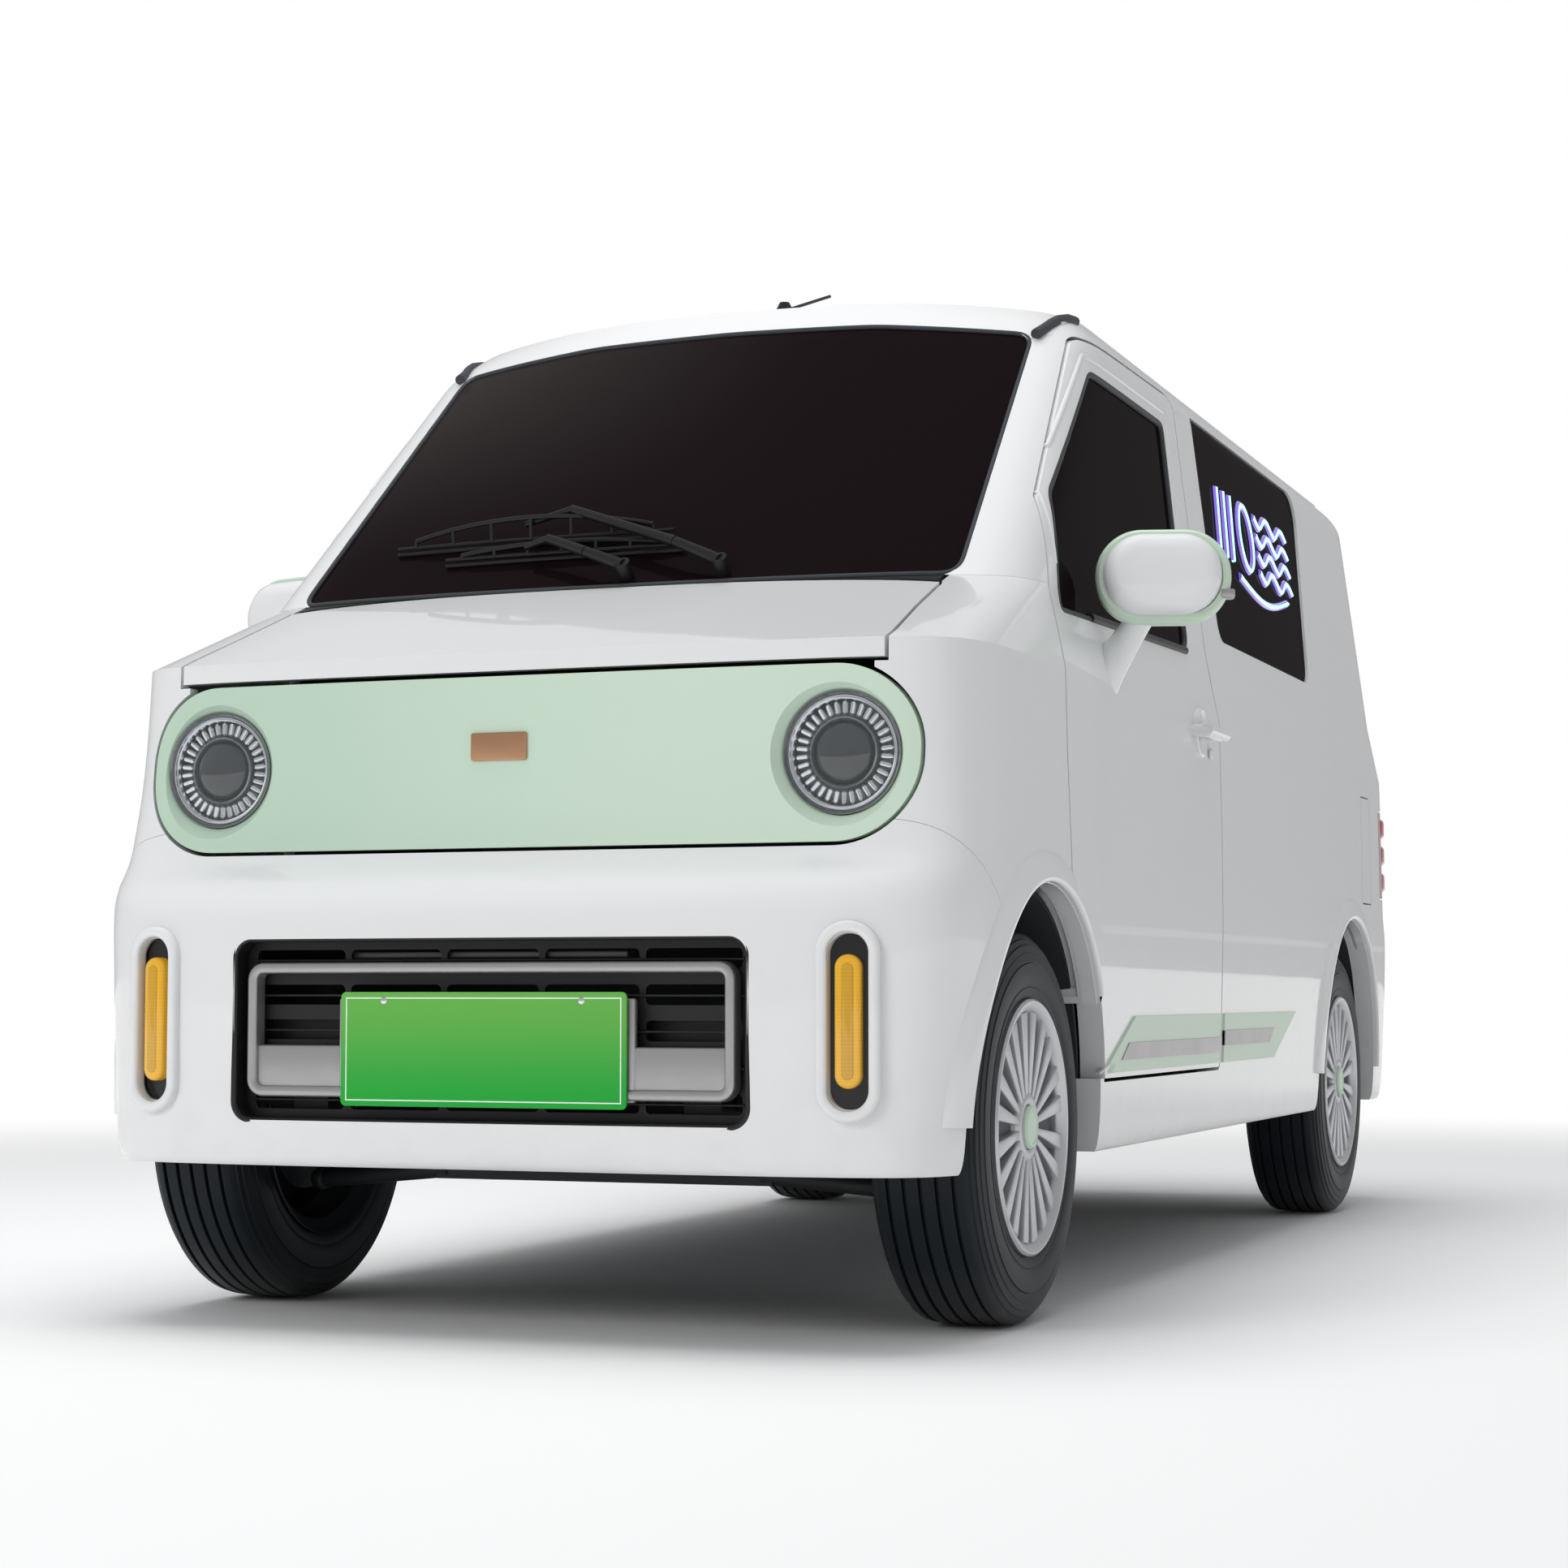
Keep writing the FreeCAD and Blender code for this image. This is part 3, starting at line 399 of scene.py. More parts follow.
@dataclass(frozen=True)
class Plate:
    """Registration plate: pale green above, deep green below, with a fine white border and no characters."""
    name: str
    top: tuple = (0.145, 0.46, 0.085)
    bottom: tuple = (0.020, 0.39, 0.048)
    half_width: float = 0.231
    low: float = 0.337
    high: float = 0.505
    margin: float = 0.009
    stroke: float = 0.0009
    slack: float = 0.001

    def build(self) -> bpy.types.Material:
        """Makes the material."""
        g = Graph(self.name)
        rise = g.axis("Z").step(self.low, self.high)
        middle = (self.low + self.high) / 2
        side, end = self.half_width - self.margin, (self.high - self.low) / 2 - self.margin
        across_place, up_place = g.axis("X").math("ABSOLUTE"), (g.axis("Z") - middle).math("ABSOLUTE")
        across, up = (across_place - side).math("ABSOLUTE"), (up_place - end).math("ABSOLUTE")
        inside = across_place.math("LESS_THAN", side + self.slack) * up_place.math("LESS_THAN",
                                                                                   end + self.slack)
        line = across.math("MINIMUM", up).math("LESS_THAN", self.stroke) * inside
        field_colour = g.mix(rise, self.bottom, self.top)
        return g.surface({
            "Base Color": g.mix(line, field_colour, (0.85, 0.9, 0.85)),
            "Roughness": g.noise(40.0) * 0.1 + 0.3,
            "Specular IOR Level": 0.15, "Normal": g.bump(g.noise(900.0), 0.05, 0.0003)})


@dataclass(frozen=True)
class Fabric:
    """Woven seat cloth."""
    name: str
    colour: tuple = (0.045, 0.047, 0.052)
    accent: tuple = (0.11, 0.115, 0.12)
    threads: float = 190.0

    def build(self) -> bpy.types.Material:
        """Makes the material."""
        g = Graph(self.name)
        warp, weft, depth = (g.waves(letter, self.threads) for letter in "XZY")
        weave = warp * weft + depth * 0.4
        heather = g.noise(240.0, 2.0)
        return g.surface({
            "Base Color": g.mix(weave * 0.5 + heather * 0.3, self.colour, self.accent),
            "Roughness": heather * 0.1 + 0.82,
            "Normal": g.bump(weave, 0.35, 0.0012), "Sheen Weight": 0.25})


class Finishes:
    """Every material of the van, built once."""

    def __init__(self) -> None:
        """Builds the materials."""
        self.white = Paint("White paint", (0.790, 0.800, 0.806), crease=0.003).build()
        # The mint's last colour is a painted shade that darkens it towards the van's right.
        self.mint = Paint("Mint paint", (0.615, 0.755, 0.620), 0.38, 0.25, 0.0, 0.0,
                          (0.47, 0.625, 0.505)).build()
        self.glass = Glass("Tinted glass").build()
        self.rubber = Rubber("Tyre rubber").build()
        self.cover = Metal("Wheel cover silver", (0.62, 0.625, 0.65), 0.24, 0.75).build()
        self.slot = Plastic("Cover slot grey", (0.10, 0.105, 0.115), 0.5).build()
        self.steel = Metal("Painted steel", (0.030, 0.034, 0.040), 0.45, 0.3, 0.12).build()
        self.cast = Metal("Cast parts", (0.16, 0.165, 0.17), 0.45, 0.7, 0.2).build()
        self.black = Plastic("Black trim", (0.008, 0.008, 0.009), 0.42).build()
        self.gloss_black = Plastic("Gloss black", (0.006, 0.006, 0.007), 0.12, 0.02).build()
        self.seal = Plastic("Window seal", (0.045, 0.05, 0.058), 0.55, 0.1).build()
        self.silver = Metal("Satin silver", (0.47, 0.465, 0.465), 0.24, 0.75).build()
        self.chrome = Metal("Reflector chrome", (0.85, 0.87, 0.90), 0.08, 1.0).build()
        self.copper = Metal("Copper badge", (0.62, 0.34, 0.20), 0.28, 0.9).build()
        self.clear = Lens("Clear lamp cover", (0.55, 0.60, 0.62), 0.045).build()
        self.lamp_dark = Metal("Lamp housing", (0.30, 0.31, 0.32), 0.16, 0.85).build()
        self.crystal = Metal("Cut lamp ring", (0.80, 0.83, 0.85), 0.06, 0.85).build()
        self.projector = Lens("Projector lens", (0.016, 0.019, 0.024), 1.0).build()
        self.amber = Lens("Amber lamp", (0.80, 0.42, 0.008), 0.98, 0.0, 0.16).build()
        self.amber_core = Lens("Amber core", (0.62, 0.33, 0.010), 1.0, 0.0, 0.10).build()
        self.red = Lens("Red lamp", (0.42, 0.010, 0.014), 0.95, 0.3, 0.05).build()
        self.neon_core = Lens("Neon core", (0.45, 0.90, 1.0), 1.0, 0.0, 1.3).build()
        self.neon_glow = Lens("Neon glow", (0.28, 0.16, 0.80), 1.0, 0.0, 0.45).build()
        self.plate = Plate("Green plate").build()
        self.fabric = Fabric("Seat cloth").build()
        self.dash = Plastic("Dashboard grain", (0.035, 0.037, 0.040), 0.62, 0.4, 420.0).build()
        self.floor = Plastic("Floor coating", (0.018, 0.020, 0.023), 0.75, 0.5, 160.0).build()
        self.battery = Metal("Battery case", (0.25, 0.26, 0.275), 0.42, 0.85).build()
        self.mirror = Metal("Mirror glass", (0.90, 0.92, 0.93), 0.02, 1.0).build()


# ---------------------------------------------------------------------------------------- mesh workshop
class Shape:
    """A bmesh in the making, with the few moves that the pieces share."""

    def __init__(self) -> None:
        """Starts empty."""
        self.bm = bmesh.new()

    def lathe(self, profile: Sequence[tuple[float, float]], centre: Vector, axis: Vector,
              steps: int = 96, closed: bool = False) -> "Shape":
        """Turns a profile once round an axis.

        Args:
            profile: (distance along the axis, radius) points.
            centre: where distance is 0.
            axis: unit direction of distance.
            steps: faces round the turn.
            closed: joins the profile's ends.

        Returns:
            The shape itself.
        """
        across = axis.orthogonal().normalized()
        verts = [self.bm.verts.new(centre + axis * along + across * radius) for along, radius in profile]
        pairs = list(zip(verts, verts[1:])) + ([(verts[-1], verts[0])] if closed else [])
        edges = [self.bm.edges.new(pair) for pair in pairs]
        bmesh.ops.spin(self.bm, geom=verts + edges, cent=centre, axis=axis, dvec=(0, 0, 0),
                       angle=2 * math.pi, steps=steps, use_merge=True)
        bmesh.ops.remove_doubles(self.bm, verts=self.bm.verts, dist=1e-6)
        bmesh.ops.recalc_face_normals(self.bm, faces=self.bm.faces)
        return self

    def block(self, size: Sequence[float], place: Sequence[float], edge: float = 0.0,
              turn: Matrix | None = None, segments: int = 3) -> "Shape":
        """Adds a box with rounded edges.

        Args:
            size: its length along X, Y and Z.
            place: its middle.
            edge: radius of its edges.
            turn: rotation about its middle.
            segments: steps of each rounded edge.

        Returns:
            The shape itself.
        """
        made = bmesh.ops.create_cube(self.bm, size=1.0)["verts"]
        bmesh.ops.scale(self.bm, vec=size, verts=made)
        if edge:
            edges = list({e for v in made for e in v.link_edges})
            out = bmesh.ops.bevel(self.bm, geom=edges, offset=edge, affect="EDGES", segments=segments,
                                  profile=0.5, material=-1)
            made = list(set(made) & set(self.bm.verts)) + out["verts"]
            made = list({v for v in made if v.is_valid})
        if turn is not None:
            bmesh.ops.rotate(self.bm, cent=(0, 0, 0), matrix=turn, verts=made)
        bmesh.ops.translate(self.bm, vec=place, verts=made)
        return self

    def slab(self, width: float, height: float, depth: float, corner: float, edge: float,
             place: Sequence[float], hole: float = 0.0, segments: int = 10) -> "Shape":
        """Adds a plate facing -Y with rounded corners; hole leaves only a rim of that width.

        Args:
            width: along X.
            height: along Z.
            depth: along Y.
            corner: radius of its outline's corners.
            edge: radius of its front edge.
            place: its middle.
            hole: width of the rim, or 0 for a whole plate.
            segments: steps of each corner.

        Returns:
            The shape itself.
        """
        part = bmesh.new()
        made = bmesh.ops.create_cube(part, size=1.0)["verts"]
        bmesh.ops.scale(part, vec=(width, depth, height), verts=made)
        posts = [e for e in part.edges if abs((e.verts[0].co - e.verts[1].co).y) > depth * 0.9]
        bmesh.ops.bevel(part, geom=posts, offset=corner, affect="EDGES", segments=segments, profile=0.5,
                        material=-1)
        if hole:
            part.faces.ensure_lookup_table()
            ends = [f for f in part.faces if abs(f.normal.y) > 0.9]
            bmesh.ops.inset_individual(part, faces=ends, thickness=hole, depth=0.0)
            ends = [f for f in part.faces if abs(f.normal.y) > 0.9 and len(f.verts) > 4 and
                    f.calc_center_median().length < depth]
            loops = [e for f in ends for e in f.edges]
            bmesh.ops.delete(part, geom=ends, context="FACES_ONLY")
            bmesh.ops.bridge_loops(part, edges=loops)
        if edge:
            rims = [e for e in part.edges if len(e.link_faces) == 2 and e.calc_face_angle(0) > 1.2
                    and max(v.co.y for v in e.verts) < 0]
            bmesh.ops.bevel(part, geom=rims, offset=edge, affect="EDGES", segments=3, profile=0.5,
                            material=-1)
        bmesh.ops.recalc_face_normals(part, faces=part.faces)
        bmesh.ops.translate(part, vec=place, verts=part.verts)
        self.join(part)
        return self

    def join(self, part: bmesh.types.BMesh, matrix: Matrix | None = None) -> None:
        """Takes in another bmesh, moved by a matrix, and frees it."""
        if matrix is not None:
            bmesh.ops.transform(part, matrix=matrix, verts=part.verts)
        mesh = bpy.data.meshes.new("part")
        part.to_mesh(mesh)
        part.free()
        self.bm.from_mesh(mesh)
        bpy.data.meshes.remove(mesh)

    def ring_of(self, part: "Shape", count: int, centre: Vector, axis: Vector,
                angles: Iterable[float] | None = None) -> "Shape":
        """Adds copies of a part turned round an axis.

        Args:
            part: the shape at angle 0.
            count: number of copies, evenly spread.
            centre: a point on the axis.
            axis: its direction.
            angles: the angles in radians, in place of count.

        Returns:
            The shape itself.
        """
        spread = list(angles) if angles is not None else [2 * math.pi * i / count for i in range(count)]
        for angle in spread:
            copy = part.bm.copy()
            bmesh.ops.rotate(copy, cent=centre, matrix=Matrix.Rotation(angle, 3, axis), verts=copy.verts)
            self.join(copy)
        return self

    def bar(self, start: Sequence[float], end: Sequence[float], radius: float, sides: int = 16,
            taper: float = 1.0) -> "Shape":
        """Adds a round bar between two points.

        Args:
            start: middle of one end.
            end: middle of the other.
            radius: at the start.
            sides: faces round it.
            taper: the end's radius as a share of the start's.

        Returns:
            The shape itself.
        """
        a, b = Vector(start), Vector(end)
        run = b - a
        made = bmesh.ops.create_cone(self.bm, cap_ends=True, segments=sides, radius1=radius,
                                     radius2=radius * taper, depth=run.length)["verts"]
        turn = Vector((0, 0, 1)).rotation_difference(run.normalized()).to_matrix()
        bmesh.ops.rotate(self.bm, cent=(0, 0, 0), matrix=turn, verts=made)
        bmesh.ops.translate(self.bm, vec=(a + b) / 2, verts=made)
        return self

    def object(self, name: str, finish: bpy.types.Material, smooth: float = 35.0) -> bpy.types.Object:
        """Ends the work as a mesh object.

        Args:
            name: the object's name.
            finish: its material.
            smooth: edges sharper than this many degrees stay crisp.

        Returns:
            The linked object.
        """
        mesh = bpy.data.meshes.new(name)
        limit = math.radians(smooth)
        for face in self.bm.faces:
            face.smooth = True
        for edge in self.bm.edges:
            edge.smooth = len(edge.link_faces) == 2 and edge.calc_face_angle(0) < limit
        self.bm.to_mesh(mesh)
        self.bm.free()
        mesh.materials.append(finish)
        made = bpy.data.objects.new(name, mesh)
        bpy.context.collection.objects.link(made)
        return made


def settle(made: bpy.types.Object, body: str, slot: Slot, *nodes: str) -> bpy.types.Object:
    """Puts a finished piece on its body and reports it.

    Args:
        made: the piece.
        body: the CAD body that it rides.
        slot: the record's material slot; not used.
        nodes: CAD nodes that it stands for.

    Returns:
        The piece.
    """
    if nodes:
        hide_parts(*nodes)
    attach(made, body)
    log.info("%s on %s: %d faces", made.name, body, len(made.data.polygons))
    return made


class Skin:
    """The outer surface of some CAD nodes, to lay pieces on."""

    def __init__(self, *nodes: str) -> None:
        """Reads the nodes' meshes."""
        verts: list[Vector] = []
        faces: list[list[int]] = []
        for name in nodes:
            mesh = frame["nodes"][name].data
            base = len(verts)
            verts += [v.co.copy() for v in mesh.vertices]
            faces += [[base + i for i in p.vertices] for p in mesh.polygons]
        self.tree = BVHTree.FromPolygons(verts, faces)

    def from_side(self, side: Side, y: float, z: float, fallback: float = 0.7) -> tuple[Vector, Vector]:
        """First point and normal met when looking at the van from one side.

        Args:
            side: the side looked from.
            y: lengthwise place.
            z: height.
            fallback: distance from the centre plane where nothing is met.

        Returns:
            The point and the outward normal there.
        """
        inward = Vector((-side.value, 0, 0))
        hit, normal, _, _ = self.tree.ray_cast(Vector((side.value * 2, y, z)), inward)
        if hit is None:
            return Vector((side.value * fallback, y, z)), -inward
        return hit, normal if normal.dot(inward) < 0 else -normal

    def from_front(self, x: float, z: float, back: bool = False, fallback: float = -1.6) -> tuple[Vector,
                                                                                                  Vector]:
        """First point and normal met from in front of the van, or from behind it.

        Args:
            x: sideways place.
            z: height.
            back: looks from behind.
            fallback: lengthwise place where nothing is met.

        Returns:
            The point and the outward normal there.
        """
        way = Vector((0, -1 if back else 1, 0))
        hit, normal, _, _ = self.tree.ray_cast(Vector((x, -4 * way.y, z)), way)
        if hit is None:
            return Vector((x, fallback, z)), -way
        return hit, normal if normal.dot(way) < 0 else -normal

    def inner_hit(self, spot: Vector, centre: Vector, look: Vector) -> tuple[Vector, Vector]:
        """Point over a spot that may lie just past the skin's edge.

        Args:
            spot: where the surface is wanted; its share along look is ignored.
            centre: a spot well inside the edge.
            look: unit direction of sight, towards the van.

        Returns:
            The point, carried on along the nearest surface met on the way to centre, and its outward normal.
        """
        for step in range(40):
            place = spot.lerp(centre, step / 40)
            hit, normal, _, _ = self.tree.ray_cast(place - look * 4, look)
            if hit is not None and abs(normal.dot(look)) > 0.5:
                normal = normal if normal.dot(look) < 0 else -normal
                across = spot - hit
                across -= look * across.dot(look)
                return hit + across - look * (across.dot(normal) / look.dot(normal)), normal
        return spot, -look

    def outline_side(self, side: Side, corners: Sequence[tuple[float, float]], step: float = 0.02) -> list:
        """Points and normals over a closed (y, z) outline seen from one side."""
        spots = along_line(corners, step, True)
        middle = Vector((0, sum(y for y, _ in spots) / len(spots), sum(z for _, z in spots) / len(spots)))
        return [self.inner_hit(Vector((0, y, z)), middle, Vector((-side.value, 0, 0))) for y, z in spots]

    def outline_end(self, corners: Sequence[tuple[float, float]], back: bool = False,
                    step: float = 0.02) -> list:
        """Points and normals over a closed (x, z) outline seen from the front or the back."""
        spots = along_line(corners, step, True)
        middle = Vector((sum(x for x, _ in spots) / len(spots), 0, sum(z for _, z in spots) / len(spots)))
        return [self.inner_hit(Vector((x, 0, z)), middle, Vector((0, -1 if back else 1, 0))) for x,
                z in spots]

    def from_above(self, x: float, y: float, fallback: float = 1.7) -> tuple[Vector, Vector]:
        """First point and normal met from above."""
        hit, normal, _, _ = self.tree.ray_cast(Vector((x, y, 4)), Vector((0, 0, -1)))
        if hit is None:
            return Vector((x, y, fallback)), Vector((0, 0, 1))
        return hit, normal if normal.z > 0 else -normal


def tube(name: str, path: Sequence[Vector], radius: float, finish: bpy.types.Material,
         closed: bool = False, sides: int = 3) -> bpy.types.Object:
    """A round bead along a path, made as a curve and turned into a mesh.

    Args:
        name: the object's name.
        path: points on its middle.
        radius: half its thickness.
        finish: its material.
        closed: joins the ends.
        sides: roundness of the bead.

    Returns:
        The mesh object.
    """
    curve = bpy.data.curves.new(name, "CURVE")
    curve.dimensions = "3D"
    curve.bevel_depth = radius
    curve.bevel_resolution = sides
    curve.use_fill_caps = not closed
    line = curve.splines.new("POLY")
    line.points.add(len(path) - 1)
    for point, spot in zip(line.points, path):
        point.co = (*spot, 1.0)
    line.use_cyclic_u = closed
    holder = bpy.data.objects.new(name + "_line", curve)
    bpy.context.collection.objects.link(holder)
    mesh = bpy.data.meshes.new_from_object(holder.evaluated_get(bpy.context.evaluated_depsgraph_get()))
    bpy.data.objects.remove(holder)
    bpy.data.curves.remove(curve)
    mesh.name = name
    for polygon in mesh.polygons:
        polygon.use_smooth = True
    mesh.materials.clear()
    mesh.materials.append(finish)
    made = bpy.data.objects.new(name, mesh)
    bpy.context.collection.objects.link(made)
    return made


def along_line(corners: Sequence[tuple[float, float]], step: float = 0.02,
               closed: bool = False) -> list[tuple]:
    """Points spaced along a broken line in a plane."""
    ends = list(corners[1:]) + ([corners[0]] if closed else [])
    spots: list[tuple] = []
    for (a, b), (c, d) in zip(corners, ends):
        parts = max(1, int(math.hypot(c - a, d - b) / step))
        spots += [(a + (c - a) * i / parts, b + (d - b) * i / parts) for i in range(parts)]
    if not closed:
        spots.append(corners[-1])
    return spots


def rounded_line(corners: Sequence[tuple[float, float]], radius: float, steps: int = 6) -> list[tuple]:
    """The closed outline with its corners cut by arcs.

    Args:
        corners: the outline's corners in a plane.
        radius: distance from each corner where its arc starts.
        steps: pieces of each arc.

    Returns:
        Corners of the finer outline.
    """
    out: list[tuple] = []
    count = len(corners)
    for i, corner in enumerate(corners):
        here = Vector(corner)
        before, after = Vector(corners[i - 1]), Vector(corners[(i + 1) % count])
        start = here + (before - here).normalized() * min(radius, (before - here).length / 2)
        end = here + (after - here).normalized() * min(radius, (after - here).length / 2)
        for k in range(steps + 1):
            t = k / steps
            spot = start * (1 - t) ** 2 + here * 2 * t * (1 - t) + end * t ** 2
            out.append((spot.x, spot.y))
    return out


FRONT_AXLE = -1.290
REAR_AXLE = 1.260
WHEEL_X = 0.606
WHEEL_Z = 0.300


def aft(distance: float) -> float:
    """Y of a point that far behind the front axle."""
    return FRONT_AXLE + distance


@dataclass
class Corner:
    """One wheel's place on the van."""
    side: Side
    front: bool

    @property
    def word(self) -> str:
        """front_left and so on."""
        return ("front_" if self.front else "rear_") + self.side.word

    @property
    def centre(self) -> Vector:
        """Middle of the wheel."""
        return Vector((self.side.value * WHEEL_X, FRONT_AXLE if self.front else REAR_AXLE, WHEEL_Z))

    @property
    def out(self) -> Vector:
        """Direction away from the van."""
        return Vector((self.side.value, 0, 0))


CORNERS = [Corner(side, front) for front in (True, False) for side in Side]


# ------------------------------------------------------------------------------------------------ wheels
@dataclass
class Tyre:
    """Ribbed radial tyre."""
    corner: Corner
    radius: float = 0.300
    bead: float = 0.189
    half_width: float = 0.0865
    grooves: Sequence[float] = (-0.050, -0.025, 0.0, 0.025, 0.050)
    groove_width: float = 0.0055
    groove_depth: float = 0.0075
    crown: float = 0.9

    def profile(self) -> list[tuple[float, float]]:
        """Half section from bead to bead."""
        w, r = self.half_width, self.radius
        wall = [(-w + 0.018, self.bead), (-w + 0.008, self.bead + 0.004), (-w + 0.0035, self.bead + 0.013),
                (-w + 0.0025, 0.212), (-w + 0.0035, 0.2135), (-w + 0.0008, 0.222), (-w, 0.240),
                (-w + 0.0002, 0.249), (-w + 0.0022, 0.2500), (-w + 0.0012, 0.2525), (-w + 0.003, 0.264),
                (-w + 0.0045, 0.2655), (-w + 0.0062, 0.276), (-w + 0.0088, 0.2772), (-w + 0.0118, 0.2850),
                (-w + 0.0148, 0.2860), (-w + 0.019, 0.2925)]
        tread = [(-0.0640, r - 0.0048)]
        for g in self.grooves:
            top = r - self.crown * g * g
            half = self.groove_width / 2
            tread += [(g - half - 0.0008, top - 0.0003), (g - half, top - 0.0012),
                      (g - half * 0.7, top - self.groove_depth), (g + half * 0.7, top - self.groove_depth),
                      (g + half, top - 0.0012), (g + half + 0.0008, top - 0.0003)]
        tread.append((0.0640, r - 0.0048))
        return wall + tread + [(-x, y) for x, y in reversed(wall)]

    def build(self, finishes: Finishes) -> None:
        """Makes the tyre and puts it on its wheel."""
        made = Shape().lathe(self.profile(), self.corner.centre, Vector((1, 0, 0)), 112, closed=True)
        piece = made.object("tyre_" + self.corner.word + "_tread", finishes.rubber, 28)
        settle(piece, "wheel_" + self.corner.word, Slot.TYRE, "tyre_" + self.corner.word)


@dataclass
class Wheel:
    """Steel wheel with a many-spoked cover."""
    corner: Corner
    spokes: int = 10
    splay: float = math.radians(8.2)
    hub: float = 0.050
    spoke_end: float = 0.1755
    spoke_depth: float = 0.0745
    barrel_section: Profile = ((0.072, 0.1885), (0.082, 0.1925), (0.0855, 0.188), (0.083, 0.182),
                               (0.066, 0.176), (0.058, 0.168), (0.020, 0.166), (0.012, 0.158),
                               (-0.020, 0.158), (-0.030, 0.166), (-0.066, 0.170), (-0.076, 0.184),
                               (-0.082, 0.190), (-0.085, 0.1925), (-0.083, 0.194), (-0.072, 0.1885))
    disc_section: Profile = ((0.040, 0.166), (0.046, 0.150), (0.030, 0.120), (0.012, 0.090), (0.008, 0.062),
                             (0.004, 0.0205), (-0.001, 0.0205), (-0.001, 0.062), (0.004, 0.092),
                             (0.022, 0.122), (0.038, 0.152), (0.030, 0.166))
    floor_section: Profile = ((0.064, 0.180), (0.0655, 0.172), (0.066, 0.120), (0.0675, 0.070),
                              (0.069, 0.030), (0.069, 0.0), (0.064, 0.0), (0.062, 0.070), (0.061, 0.120),
                              (0.060, 0.176))
    ring_section: Profile = ((0.0640, 0.1935), (0.0850, 0.1948), (0.0885, 0.1915), (0.0880, 0.1860),
                             (0.0845, 0.1800), (0.0780, 0.1745), (0.0720, 0.1730), (0.0640, 0.1735))
    hub_section: Profile = ((0.064, 0.058), (0.0745, 0.056), (0.0800, 0.050), (0.0815, 0.040),
                            (0.0790, 0.0345), (0.064, 0.034))
    cap_section: Profile = ((0.068, 0.0335), (0.0830, 0.0330), (0.0862, 0.0300), (0.0868, 0.0255),
                            (0.0855, 0.0245), (0.0860, 0.0150), (0.0868, 0.0), (0.068, 0.0))

    def barrel(self, finishes: Finishes) -> None:
        """Rolled rim and pressed centre disc."""
        shape = Shape().lathe(self.barrel_section, self.corner.centre, self.corner.out, 96, closed=True)
        shape.lathe(self.disc_section, self.corner.centre, self.corner.out, 96, closed=True)
        piece = shape.object("wheel_" + self.corner.word + "_steel", finishes.steel)
        settle(piece, "wheel_" + self.corner.word, Slot.STEEL)

    def cover(self, finishes: Finishes) -> None:
        """Silver cover: outer ring, paired spokes and centre, over a grey slotted floor."""
        c, out = self.corner.centre, self.corner.out
        back = Shape().lathe(self.floor_section, c, out, 72, closed=True)
        settle(back.object("cover_" + self.corner.word + "_slots", finishes.slot),
               "wheel_" + self.corner.word, Slot.RIM)
        shape = Shape().lathe(self.ring_section, c, out, 96, closed=True)
        shape.lathe(self.hub_section, c, out, 64, closed=True)
        blade = Shape()
        length = self.spoke_end - self.hub
        blade.block((0.0165, 0.0165, length), (0.0, 0.0, 0.0), 0.0)
        for vert in blade.bm.verts:
            share = (vert.co.z + length / 2) / length
            vert.co.y *= 0.62 + 0.95 * share
            vert.co.x += -0.0022 * (1 - share) if vert.co.x > 0 else 0.0
        edges = [e for e in blade.bm.edges if all(v.co.x > 0 for v in e.verts)]
        bmesh.ops.bevel(blade.bm, geom=edges, offset=0.0026, affect="EDGES", segments=3, profile=0.5,
                        material=-1)
        middle = c + out * self.spoke_depth + Vector((0, 0, self.hub + length / 2))
        if self.corner.side is Side.RIGHT:
            bmesh.ops.rotate(blade.bm, cent=(0, 0, 0), matrix=Matrix.Rotation(math.pi, 3, "Z"),
                             verts=blade.bm.verts)
        bmesh.ops.translate(blade.bm, vec=middle, verts=blade.bm.verts)
        angles = [2 * math.pi * i / self.spokes + way * self.splay for i in range(self.spokes)
                  for way in (-1, 1)]
        shape.ring_of(blade, 0, c, out, angles)
        blade.bm.free()
        piece = shape.object("cover_" + self.corner.word, finishes.cover)
        settle(piece, "wheel_" + self.corner.word, Slot.RIM, "rim_" + self.corner.word)
        lid = Shape().lathe(self.cap_section, c, out, 48, closed=True)
        settle(lid.object("cap_" + self.corner.word, finishes.mint), "wheel_" + self.corner.word, Slot.MINT)

    def build(self, finishes: Finishes) -> None:
        """Makes the whole wheel."""
        self.barrel(finishes)
        self.cover(finishes)


